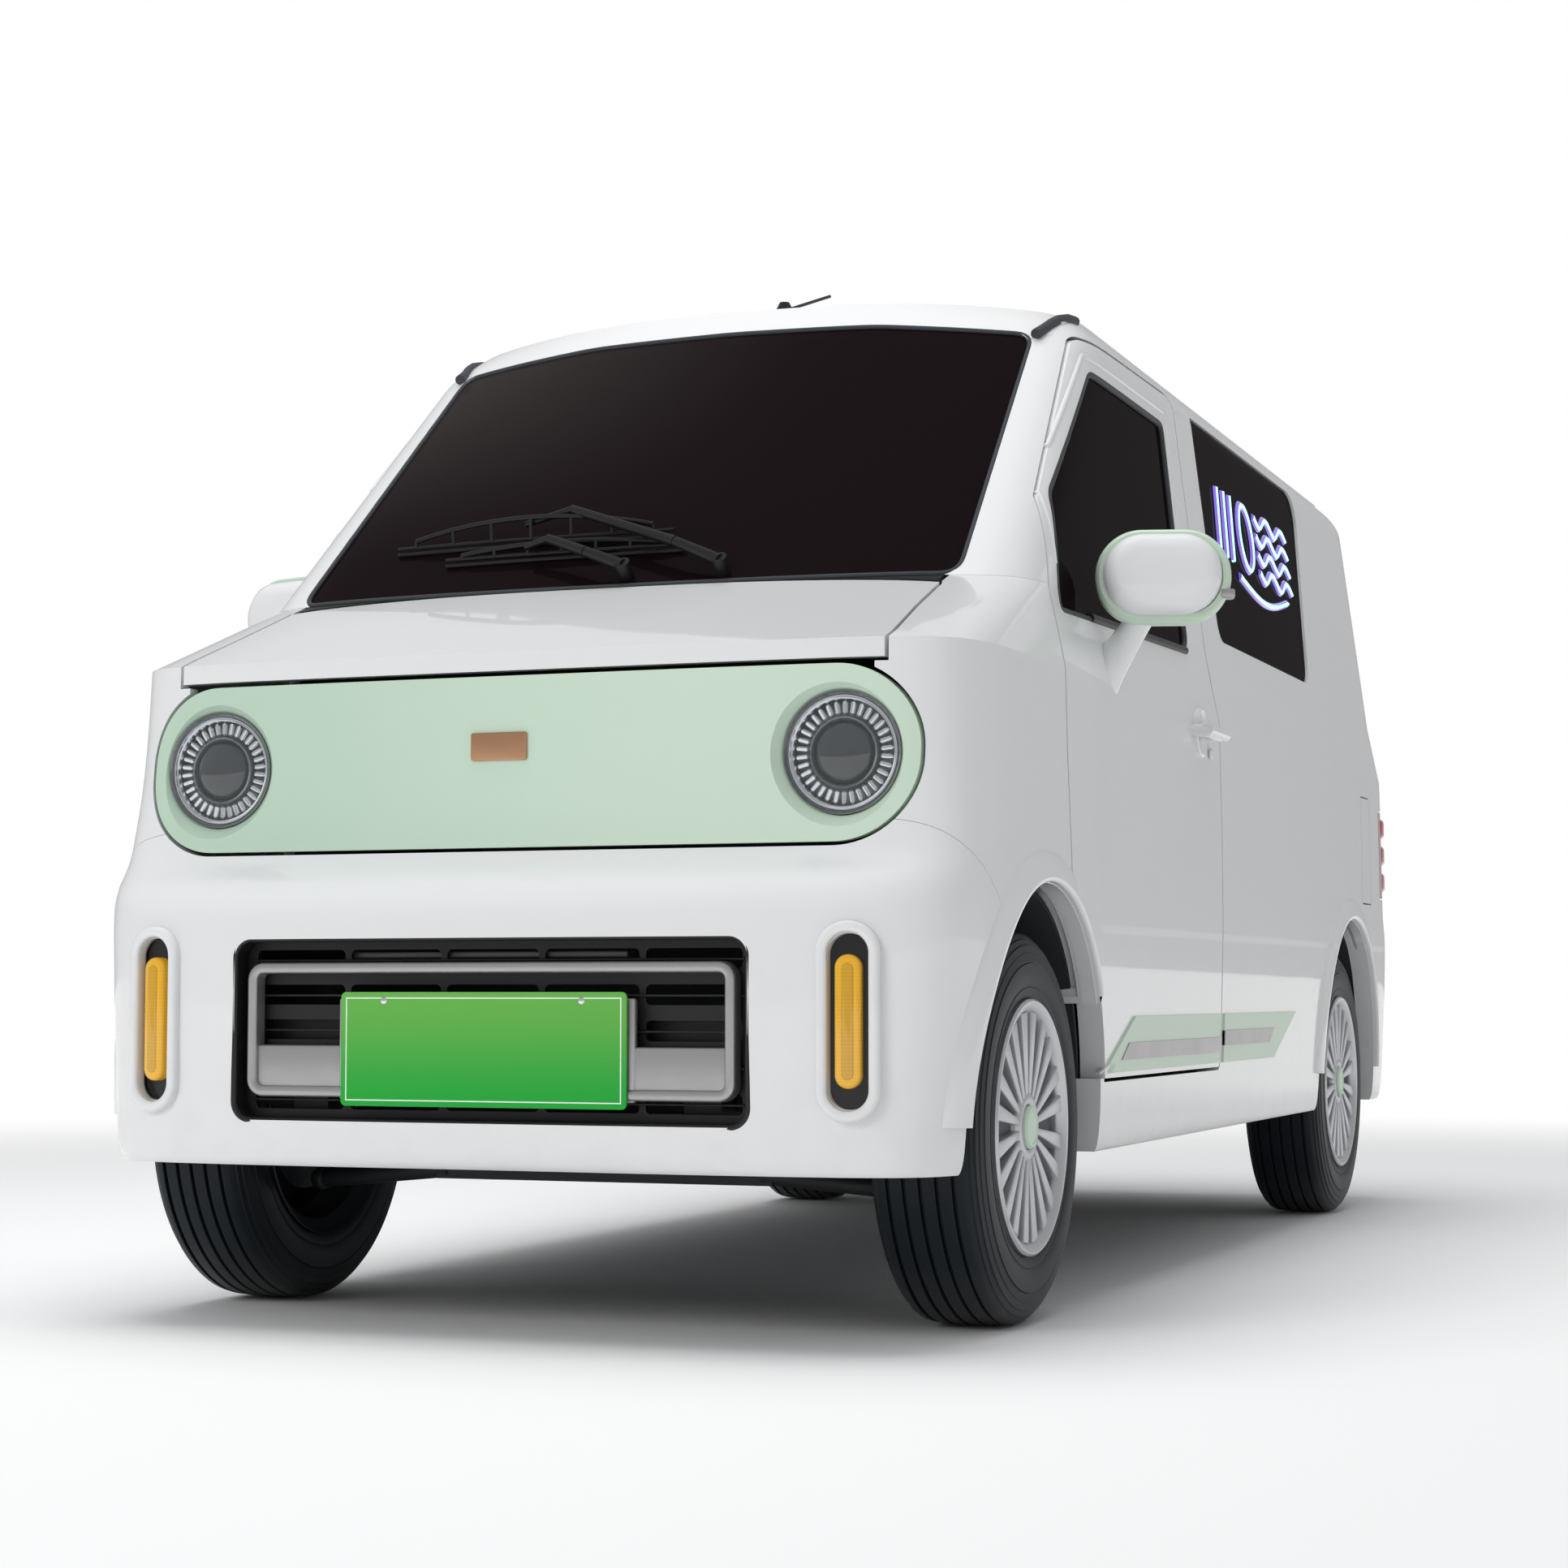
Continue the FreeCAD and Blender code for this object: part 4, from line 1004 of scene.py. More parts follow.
# ------------------------------------------------------------------------------------------------- front
@dataclass
class Headlamp:
    """Round projector lamp at the bottom of a dish in the mint panel."""
    side: Side
    x: float = 0.516
    z: float = 0.850
    face: float = FRONT_AXLE - 0.362
    turns: int = 80
    teeth: int = 34
    tooth_turn: float = math.radians(24)
    tooth_place: Sequence[float] = (0, 0.010, 0.0652)
    bowl: Profile = ((-0.006, 0.0905), (-0.008, 0.0885), (-0.004, 0.0855), (0.016, 0.0800), (0.034, 0.0760),
                     (0.036, 0.0), (0.060, 0.0), (0.060, 0.0905))
    outer_step: Profile = ((0.004, 0.0850), (-0.002, 0.0835), (-0.002, 0.0815), (0.002, 0.0800),
                           (0.001, 0.0780), (0.006, 0.0765), (0.012, 0.0850))
    inner_step: Profile = ((0.010, 0.0535), (0.001, 0.0520), (-0.001, 0.0500), (0.001, 0.0480),
                           (0.014, 0.0455), (0.034, 0.0455), (0.034, 0.0535))
    projector: Profile = ((0.014, 0.0460), (0.004, 0.0440), (-0.002, 0.0380), (-0.0055, 0.0280),
                          (-0.0075, 0.0150), (-0.0082, 0.0), (0.030, 0.0), (0.030, 0.0460))
    cover: Profile = ((0.002, 0.0872), (-0.0082, 0.0865), (-0.0112, 0.0810), (-0.0138, 0.0500),
                      (-0.0148, 0.0), (-0.0133, 0.0), (-0.0123, 0.0500), (-0.0097, 0.0800),
                      (-0.0070, 0.0850), (0.002, 0.0858))

    def ring(self, name: str, profile: Profile, finish: bpy.types.Material, slot: Slot,
             *nodes: str) -> None:
        """Makes one turned part.

        Args:
            name: start of the part's name.
            profile: (depth behind the lamp's face, radius) points.
            finish: its material.
            slot: its material slot.
            nodes: CAD nodes that it stands for.
        """
        centre = Vector((self.side.value * self.x, self.face, self.z))
        shape = Shape().lathe(profile, centre, Vector((0, 1, 0)), self.turns, True)
        settle(shape.object(name + "_" + self.side.word, finish), "body", slot, *nodes)

    def build(self, finishes: Finishes) -> None:
        """Makes the bowl, steps, cut ring, projector and cover."""
        nodes = ["headlamps"] if self.side is Side.LEFT else []
        self.ring("lamp_bowl", self.bowl, finishes.lamp_dark, Slot.CLEAR, *nodes)
        self.ring("lamp_step_outer", self.outer_step, finishes.chrome, Slot.CLEAR)
        self.ring("lamp_step_inner", self.inner_step, finishes.lamp_dark, Slot.CLEAR)
        self.ring("lamp_projector", self.projector, finishes.projector, Slot.CLEAR)
        self.ring("lamp_cover", self.cover, finishes.clear, Slot.CLEAR)
        centre = Vector((self.side.value * self.x, self.face, self.z))
        back = Vector((0, 1, 0))
        turn = Matrix.Rotation(self.tooth_turn, 3, "Z")
        tooth = Shape().block((0.0078, 0.013, 0.0205), (0, 0, 0), 0.0028, turn, 1)
        bmesh.ops.translate(tooth.bm, vec=centre + Vector(self.tooth_place), verts=tooth.bm.verts)
        cut = Shape().ring_of(tooth, self.teeth, centre, back)
        tooth.bm.free()
        settle(cut.object("lamp_cut_ring_" + self.side.word, finishes.crystal, 10), "body", Slot.CLEAR)


@dataclass
class CornerLamp:
    """Upright amber lamp in a dark slot with a raised white surround."""
    side: Side
    x: float = 0.562
    z: float = 0.464
    width: float = 0.058
    height: float = 0.246

    def build(self, finishes: Finishes, skin: Skin) -> None:
        """Makes the surround, the slot and the lamp."""
        x = self.side.value * self.x
        lean = Matrix.Rotation(self.side.value * math.radians(9), 4, "Z")
        spot, _ = skin.from_front(x - self.side.value * 0.045, self.z)
        face = spot.y
        place = Matrix.Translation((x, face, self.z)) @ lean
        rim = Shape()
        rim.slab(self.width + 0.034, self.height + 0.036, 0.020, 0.0455, 0.0065, (0, 0.004, 0), hole=0.0165,
                 segments=14)
        back = Shape()
        back.slab(self.width + 0.004, self.height + 0.004, 0.004, 0.0305, 0.0, (0, 0.020, 0), segments=14)
        lens = Shape()
        lens.slab(self.width - 0.020, self.height - 0.058, 0.022, 0.0188, 0.007, (0, 0.009, 0), segments=14)
        core = Shape()
        core.slab(self.width - 0.040, self.height - 0.082, 0.010, 0.0088, 0.003, (0, 0.001, 0), segments=10)
        for shape, name, finish, slot in ((rim, "surround", finishes.white, Slot.PAINT),
                                          (back, "slot", finishes.gloss_black, Slot.BLACK),
                                          (lens, "lens", finishes.amber, Slot.AMBER),
                                          (core, "core", finishes.amber_core, Slot.AMBER)):
            bmesh.ops.transform(shape.bm, matrix=place, verts=shape.bm.verts)
            nodes = ["corner_lamps"] if name == "lens" and self.side is Side.LEFT else []
            settle(shape.object("corner_lamp_" + name + "_" + self.side.word, finish), "body", slot, *nodes)


@dataclass
class FrontFace:
    """Grille opening, silver frame, blank plate and blank badge."""
    low: float = 0.314
    high: float = 0.584
    half: float = 0.415

    def grille(self, finishes: Finishes) -> None:
        """Black surround lip, fine bars and the bumper beam behind them."""
        lip = Shape()
        lip.slab(2 * self.half + 0.012, self.high - self.low + 0.012, 0.030, 0.034, 0.004,
                 (0, aft(-0.468), 0.449), hole=0.010)
        for row in range(5):
            lip.block((0.80, 0.006, 0.0035), (0, aft(-0.450), self.low + 0.030 + row * 0.052), 0.0012)
        settle(lip.object("grille_bars", finishes.black), "body", Slot.BLACK)
        beam = Shape()
        for z in (0.560, 0.345):
            beam.block((0.46, 0.012, 0.010), (-0.02, aft(-0.430), z), 0.003)
        settle(beam.object("grille_rods", finishes.cast), "body", Slot.STEEL)

    def silver_frame(self, finishes: Finishes) -> None:
        """Rounded silver frame with a broad lower band."""
        rim = Shape()
        rim.slab(0.790, 0.200, 0.026, 0.026, 0.006, (0, aft(-0.468), 0.449), hole=0.0165)
        rim.block((0.760, 0.020, 0.074), (0, aft(-0.464), 0.389), 0.004)
        rim.block((0.480, 0.012, 0.150), (0, aft(-0.470), 0.421), 0.004)
        settle(rim.object("silver_frame", finishes.silver), "body", Slot.SILVER, "grille_frame")

    def plate(self, finishes: Finishes) -> None:
        """Blank plate with its two screws."""
        plate = Shape()
        plate.slab(0.462, 0.168, 0.003, 0.008, 0.001, (0, aft(-0.484), 0.421))
        settle(plate.object("plate_blank", finishes.plate), "body", Slot.PLATE, "number_plate")
        screws = Shape()
        for x in (-0.16, 0.16):
            screws.lathe([(0.0, 0.0), (-0.0022, 0.0), (-0.0020, 0.0035), (-0.0008, 0.0052), (0.0, 0.0055)],
                         Vector((x, aft(-0.4855), 0.492)), Vector((0, 1, 0)), 20, True)
        settle(screws.object("plate_screws", finishes.chrome), "body", Slot.SILVER)

    def badge(self, finishes: Finishes, skin: Skin) -> None:
        """Plain copper tile in the middle of the mint panel."""
        spot, _ = skin.from_front(0, 0.872)
        tile = Shape()
        tile.slab(0.092, 0.042, 0.006, 0.0035, 0.0016, (-0.022, spot.y - 0.002, 0.872))
        settle(tile.object("badge_blank", finishes.copper), "body", Slot.SILVER)

    def build(self, finishes: Finishes, panel: Skin) -> None:
        """Makes the whole front face."""
        self.grille(finishes)
        self.silver_frame(finishes)
        self.plate(finishes)
        self.badge(finishes, panel)


@dataclass
class Wiper:
    """One wiper parked low on the windscreen: pivot, bent arm, bowed bridge and rubber blade."""
    word: str
    arm: Sequence[tuple[float, float]]
    blade: tuple[tuple[float, float], tuple[float, float]]
    bow: float = 0.026
    parts: int = 14
    lifts: Sequence[float] = (0.024, 0.036, 0.038, 0.024)
    radii: Sequence[float] = (0.0105, 0.0095, 0.0065)

    def over(self, glass: Skin, x: float, z: float, lift: float) -> Vector:
        """Point a lift above the glass."""
        spot, normal = glass.inner_hit(Vector((x, 0, z)), Vector((0, 0, 1.40)), Vector((0, 1, 0)))
        return spot + normal * lift

    def build(self, finishes: Finishes, glass: Skin) -> None:
        """Makes the wiper."""
        shape = Shape()
        foot = self.over(glass, *self.arm[0], 0.0)
        top = self.over(glass, *self.arm[0], 0.03)
        shape.bar(foot, top, 0.013, 20)
        spots = [self.over(glass, x, z, lift) for (x, z), lift in zip(self.arm, self.lifts)]
        for a, b, radius in zip(spots, spots[1:], self.radii):
            shape.bar(a, b, radius, 12, 0.85)
        (x0, z0), (x1, z1) = self.blade
        bottom, bridge, spine = [], [], []
        for i in range(self.parts + 1):
            t = i / self.parts
            x, z = x0 + (x1 - x0) * t, z0 + (z1 - z0) * t
            hump = 4 * t * (1 - t)
            bottom.append(self.over(glass, x, z, 0.004))
            spine.append(self.over(glass, x, z + 0.005, 0.011))
            bridge.append(self.over(glass, x, z + 0.006 + self.bow * hump * 0.6, 0.012 + self.bow * hump))
        for i in range(self.parts):
            shape.bar(bottom[i], bottom[i + 1], 0.0032, 8)
            shape.bar(spine[i], spine[i + 1], 0.0030, 8)
            if 0 < i < self.parts - 1:
                shape.bar(bridge[i], bridge[i + 1], 0.0042, 8)
        for i in range(1, self.parts, 2):
            shape.bar(spine[i], bridge[i], 0.0034, 8)
        settle(shape.object("wiper_" + self.word, finishes.black), "body", Slot.BLACK,
               *(["wipers"] if self.word == "left" else []))


@dataclass
class Screen:
    """Bead round the windscreen and the gutters that start at its upper corners."""
    corners: Sequence[tuple[float, float]] = ((-0.579, 1.152), (0.579, 1.152), (0.545, 1.640), (0.270, 1.668),
                                              (0.0, 1.674), (-0.270, 1.668), (-0.545, 1.640))

    def build(self, finishes: Finishes, glass: Skin, roof: Skin) -> None:
        """Makes the bead and both gutters."""
        hits = glass.outline_end(rounded_line(self.corners, 0.030))
        path = [spot + normal * 0.0010 for spot, normal in hits]
        settle(tube("screen_bead", path, 0.0045, finishes.seal, True), "body", Slot.BLACK)
        for side in Side:
            ys = [aft(0.60) + i * 0.05 for i in range(47)]
            path = [roof.from_above(side.value * 0.5755, y)[0] + Vector((0, 0, -0.0010)) for y in ys]
            settle(tube("gutter_" + side.word, path, 0.0050, finishes.white), "body", Slot.PAINT)
            ends = [roof.from_above(side.value * x, aft(a))[0] + Vector((0, 0, 0.002))
                    for x, a in ((0.5600, 0.555), (0.5660, 0.580), (0.5710, 0.610), (0.5745, 0.650),
                                 (0.5750, 0.700))]
            ends.insert(0, Vector((side.value * 0.5545, aft(0.520), ends[0].z - 0.016)))
            settle(tube("gutter_end_" + side.word, ends, 0.0095, finishes.seal), "body", Slot.BLACK)


@dataclass
class NeonSign:
    """Glowing drawing on the dark side panel: slanted dashes, a ring and stacked waves."""
    start: float = 1.500
    end: float = 2.235
    base: float = 1.430
    spacing: float = 0.012
    glow: float = 0.0105
    core: float = 0.0052

    def strokes(self) -> list[list[tuple[float, float]]]:
        """Lines of the drawing as (aft, z) points."""
        dashes = [[(self.start + i * 0.060, self.base - 0.045),
                   (self.start + 0.034 + i * 0.060, self.base + 0.095)]
                  for i in range(3)]
        ring = [(self.start + 0.275 + 0.062 * math.cos(t * math.pi / 12),
                 self.base + 0.025 + 0.070 * math.sin(t * math.pi / 12))
                for t in range(25)]
        waves = []
        for row in range(4):
            span = [self.start + 0.385 + 0.010 * i
                    for i in range(int((self.end - self.start - 0.385) / 0.010))]
            waves.append([(a, self.base + 0.082 - row * 0.040 + 0.014 * math.sin((a - self.start) * 40))
                          for a in span])
        sweep = [(self.start + 0.170 + 0.012 * i, self.base - 0.070 - 0.030 * math.sin(i * math.pi / 40))
                 for i in range(41)]
        return dashes + [ring] + waves + [sweep]

    def build(self, finishes: Finishes, panel: Skin) -> None:
        """Makes the glow and the bright core of each stroke."""
        middle = Vector((0, aft((self.start + self.end) / 2), self.base))
        look = Vector((-1, 0, 0))
        for index, stroke in enumerate(self.strokes()):
            line = along_line(stroke, self.spacing)
            spots = [panel.inner_hit(Vector((0, aft(a), z)), middle, look)[0] for a, z in line]
            for word, lift, radius, finish in (("glow", -0.004, self.glow, finishes.neon_glow),
                                               ("core", 0.003, self.core, finishes.neon_core)):
                path = [p + Vector((lift, 0, 0)) for p in spots]
                settle(tube(f"neon_{word}_{index:02d}", path, radius, finish), "body", Slot.GLASS)


# ------------------------------------------------------------------------------------------------- sides
@dataclass
class DoorTrim:
    """Seals, waist strip, handle and mirror of one front door."""
    side: Side
    window: Sequence[tuple[float, float]] = ((0.174, 1.112), (0.252, 1.312), (0.588, 1.578), (1.100, 1.578),
                                             (1.064, 1.150), (1.010, 1.134))
    frame_line: Sequence[tuple[float, float]] = ((0.196, 1.190), (0.232, 1.330), (0.575, 1.606),
                                                 (1.132, 1.606), (1.100, 1.160))
    mirror_turn: float = math.radians(16)
    stalk_line: Sequence[tuple[float, float, float]] = (
        (0.668, 0.446, 1.012), (0.692, 0.436, 1.038), (0.716, 0.423, 1.062), (0.744, 0.406, 1.092),
        (0.776, 0.388, 1.132))
    stalk_radii: Sequence[float] = (0.046, 0.037, 0.0295, 0.0245, 0.0225)

    def seal(self, finishes: Finishes, glass: Skin, door: Skin) -> None:
        """Bead round the glass and the black strip under it."""
        hits = glass.outline_side(self.side, rounded_line([(aft(a), z) for a, z in self.window], 0.022))
        path = [spot + normal * 0.001 for spot, normal in hits]
        body = "door_" + self.side.word
        settle(tube("window_seal_" + self.side.word, path, 0.0065, finishes.seal, True), body, Slot.BLACK)
        look = Vector((-self.side.value, 0, 0))
        low = [Vector((0, aft(a), 1.1155 + (a - 0.174) * 0.0263))
               for a in [0.36 + i * 0.036 for i in range(20)]]
        waist = [glass.inner_hit(spot, Vector((0, aft(0.7), 1.3)), look)[0] - look * 0.003 for spot in low]
        settle(tube("waist_strip_" + self.side.word, waist, 0.0085, finishes.black), body, Slot.BLACK)
        frame_path = [door.inner_hit(Vector((0, aft(a), z)), Vector((0, aft(a), z)), look)[0] - look * -0.0032
                      for a, z in along_line(self.frame_line, 0.02)]
        bead = tube("window_frame_" + self.side.word, frame_path, 0.0058, finishes.white, sides=5)
        settle(bead, body, Slot.PAINT)

    def handle(self, finishes: Finishes) -> None:
        """Round cup with a bar across it and a lock cover."""
        s = self.side.value
        out = Vector((s, 0, 0))
        middle = Vector((0.7175 * s, aft(1.043), 0.985))
        cup = [(-0.006, 0.0), (0.0015, 0.0), (0.002, 0.036), (0.0045, 0.0415), (0.0025, 0.0460),
               (-0.006, 0.0470)]
        shape = Shape().lathe(cup, middle, out, 48, True)
        shape.block((0.016, 0.124, 0.027), middle + out * 0.022, 0.0078, segments=4)
        for end in (-0.048, 0.048):
            shape.block((0.030, 0.026, 0.024), middle + out * 0.010 + Vector((0, end, 0)), 0.007, segments=4)
        shape.lathe([(0.0, 0.0), (0.005, 0.0), (0.005, 0.0080), (0.003, 0.0105), (0.0, 0.0110)],
                    middle + Vector((0, 0.078, -0.034)), out, 24, True)
        settle(shape.object("handle_" + self.side.word, finishes.white), "door_" + self.side.word, Slot.PAINT)

    def mirror(self, finishes: Finishes) -> None:
        """Oval mirror: white cap, mint rim, dark back with its glass, and a stalk."""
        s = self.side.value
        body = "door_" + self.side.word
        turn = Matrix.Rotation(s * self.mirror_turn, 4, "Z")
        place = Matrix.Translation((s * 0.811, aft(0.374), 1.185)) @ turn
        cap = Shape()
        cap.slab(0.194, 0.134, 0.070, 0.0655, 0.030, (s * -0.002, -0.014, 0.002), segments=18)
        rim = Shape()
        rim.slab(0.222, 0.156, 0.046, 0.0765, 0.014, (0, 0.008, 0), hole=0.020, segments=18)
        back = Shape()
        back.slab(0.216, 0.148, 0.010, 0.073, 0.0, (0, 0.026, 0), segments=16)
        glass = Shape()
        glass.slab(0.196, 0.128, 0.004, 0.063, 0.0, (0, 0.032, 0), segments=16)
        clip = Shape()
        clip.block((0.024, 0.034, 0.015), (s * 0.104, 0.000, -0.030), 0.004)
        parts = ((cap, "cap", finishes.white, Slot.PAINT), (rim, "rim", finishes.mint, Slot.MINT),
                 (back, "back", finishes.black, Slot.BLACK), (glass, "glass", finishes.mirror, Slot.SILVER),
                 (clip, "clip", finishes.silver, Slot.SILVER))
        for shape, name, finish, slot in parts:
            bmesh.ops.transform(shape.bm, matrix=place, verts=shape.bm.verts)
            nodes = ["mirror_" + self.side.word] if name == "cap" else []
            settle(shape.object("mirror_" + name + "_" + self.side.word, finish), body, slot, *nodes)
        path = [Vector((s * x, aft(a), z)) for x, a, z in self.stalk_line]
        stalk = Shape()
        for a, b, radius, after in zip(path, path[1:], self.stalk_radii, self.stalk_radii[1:]):
            stalk.bar(a, b, radius, 40, after / radius)
        piece = stalk.object("mirror_stalk_" + self.side.word, finishes.white, 60)
        weld = piece.modifiers.new("blend", "REMESH")
        weld.mode, weld.voxel_size, weld.use_smooth_shade = "VOXEL", 0.0035, True
        ease = piece.modifiers.new("ease", "SMOOTH")
        ease.iterations, ease.factor = 14, 0.6
        settle(piece, body, Slot.PAINT)

    def build(self, finishes: Finishes, glass: Skin, door: Skin) -> None:
        """Makes all the door's trim."""
        self.seal(finishes, glass, door)
        self.handle(finishes)
        self.mirror(finishes)


@dataclass
class Skirt:
    """Mint trim along the bottom of a panel with a silver strip let into it."""
    name: str
    side: Side
    body: str
    corners: Sequence[tuple[float, float]]
    strip: Sequence[tuple[float, float]]

    def patch(self, corners: Sequence[tuple[float, float]], skin: Skin, out: float, thick: float) -> Shape:
        """Four-cornered patch that follows the panel.

        Args:
            corners: (aft, z) lower front, lower rear, upper rear and upper front.
            skin: the panel.
            out: height of its back above the panel.
            thick: its thickness.

        Returns:
            The patch as a shape.
        """
        shape = Shape()
        bmesh.ops.create_grid(shape.bm, x_segments=40, y_segments=6, size=1.0)
        a, b, c, d = (Vector(p) for p in corners)
        s = self.side.value
        for vert in shape.bm.verts:
            u, v = (vert.co.x + 1) / 2, (vert.co.y + 1) / 2
            spot = a.lerp(b, u).lerp(d.lerp(c, u), v)
            hit, _ = skin.from_side(self.side, aft(spot.x), spot.y)
            vert.co = hit + Vector((s * (out + thick), 0, 0))
        bmesh.ops.recalc_face_normals(shape.bm, faces=shape.bm.faces)
        rim = [e for e in shape.bm.edges if e.is_boundary]
        walls = bmesh.ops.extrude_edge_only(shape.bm, edges=rim)["geom"]
        bmesh.ops.translate(shape.bm, vec=(-s * (thick + out + 0.002), 0, 0),
                            verts=[g for g in walls if isinstance(g, bmesh.types.BMVert)])
        bmesh.ops.recalc_face_normals(shape.bm, faces=shape.bm.faces)
        sample = next(f for f in shape.bm.faces if abs(f.normal.x) > 0.9)
        if sample.normal.x * s < 0:
            bmesh.ops.reverse_faces(shape.bm, faces=shape.bm.faces)
        return shape

    def build(self, finishes: Finishes, skin: Skin) -> None:
        """Makes the trim and its strip."""
        settle(self.patch(self.corners, skin, 0.0, 0.004).object(self.name, finishes.mint, 50), self.body,
               Slot.MINT)
        settle(self.patch(self.strip, skin, 0.003, 0.003).object(self.name + "_strip", finishes.silver, 50),
               self.body, Slot.SILVER)


@dataclass
class ArchFlare:
    """Raised band round one wheel opening, rolled inwards at its edge."""
    corner: Corner
    half_length: float = 0.345
    height: float = 0.371
    band: float = 0.052
    lift: float = 0.0125
    safe: float = 0.06
    steps: int = 72

    def section(self) -> list[tuple[float, float]]:
        """(distance outside the opening's edge, height above the panel) across the band."""
        b, h = self.band, self.lift
        return [(0.001, -0.030), (0.001, h * 0.5), (0.0022, h * 0.84), (0.005, h), (0.012, h * 0.98),
                (b * 0.55, h * 0.78), (b * 0.80, h * 0.50), (b * 0.93, h * 0.16), (b, -0.0012)]

    def build(self, finishes: Finishes, skin: Skin, start: float, end: float) -> None:
        """Makes the flare between two angles from the front, in degrees."""
        shape = Shape()
        section = self.section()
        bmesh.ops.create_grid(shape.bm, x_segments=self.steps, y_segments=len(section) - 1, size=1.0)
        centre = self.corner.centre
        out = self.corner.side.value
        look = Vector((-out, 0, 0))
        for vert in shape.bm.verts:
            across = round((vert.co.y + 1) / 2 * (len(section) - 1))
            angle = math.radians(start + (end - start) * (vert.co.x + 1) / 2)
            away, rise = section[across]
            y = centre.y - math.cos(angle) * (self.half_length + away)
            z = WHEEL_Z + math.sin(angle) * (self.height + away)
            inner = Vector((0, centre.y - math.cos(angle) * (self.half_length + self.safe),
                            WHEEL_Z + math.sin(angle) * (self.height + self.safe)))
            spot, _ = skin.inner_hit(Vector((0, y, z)), inner, look)
            vert.co = spot + Vector((out * rise, 0, 0))
        bmesh.ops.recalc_face_normals(shape.bm, faces=shape.bm.faces)
        sample = max(shape.bm.faces, key=lambda f: abs(f.normal.x))
        if sample.normal.x * out < 0:
            bmesh.ops.reverse_faces(shape.bm, faces=shape.bm.faces)
        piece = shape.object("arch_flare_" + self.corner.word, finishes.white, 50)
        wall = piece.modifiers.new("wall", "SOLIDIFY")
        wall.thickness, wall.offset = 0.0015, -1
        settle(piece, "body", Slot.PAINT)


# -------------------------------------------------------------------------------------------------- rear
@dataclass
class Tail:
    """Tail lamps, tailgate handle, blank rear plate and high brake lamp."""

    def lamps(self, finishes: Finishes) -> None:
        """Three red lenses on a dark block at each corner."""
        for side in Side:
            s = side.value
            base = Shape()
            base.block((0.050, 0.030, 0.196), (s * 0.676, aft(3.016), 0.838), 0.008)
            settle(base.object("tail_base_" + side.word, finishes.gloss_black), "body", Slot.BLACK)
            lenses = Shape()
            for z in (0.772, 0.838, 0.904):
                lenses.block((0.066, 0.050, 0.052), (s * 0.683, aft(3.018), z), 0.012, segments=4)
            settle(lenses.object("tail_lenses_" + side.word, finishes.red), "body", Slot.RED)

    def gate(self, finishes: Finishes, skin: Skin) -> None:
        """Fittings on the tailgate."""
        face, _ = skin.from_front(0, 0.80, back=True)
        plate = Shape()
        plate.block((0.470, 0.006, 0.176), (0, face.y + 0.003, 0.78), 0.002)
        settle(plate.object("rear_plate_blank", finishes.silver), "tailgate", Slot.SILVER)
        grip = Shape()
        grip.block((0.360, 0.020, 0.030), (0, face.y + 0.008, 0.905), 0.007)
        settle(grip.object("gate_grip", finishes.white), "tailgate", Slot.PAINT)
        top, _ = skin.from_front(0, 1.612, back=True)
        lamp = Shape()
        lamp.block((0.260, 0.014, 0.020), (0, top.y + 0.003, 1.608), 0.005)
        settle(lamp.object("high_brake_lamp", finishes.red), "tailgate", Slot.RED)

    def glass_bead(self, finishes: Finishes, glass: Skin) -> None:
        """Bead round the rear window."""
        corners = [(-0.472, 1.176), (0.472, 1.176), (0.446, 1.564), (-0.446, 1.564)]
        hits = glass.outline_end(rounded_line(corners, 0.04), True, 0.03)
        path = [spot + normal * 0.001 for spot, normal in hits]
        settle(tube("rear_window_bead", path, 0.006, finishes.seal, True), "tailgate", Slot.BLACK)

    def build(self, finishes: Finishes, skin: Skin, glass: Skin) -> None:
        """Makes everything at the tail."""
        self.lamps(finishes)
        self.gate(finishes, skin)
        self.glass_bead(finishes, glass)


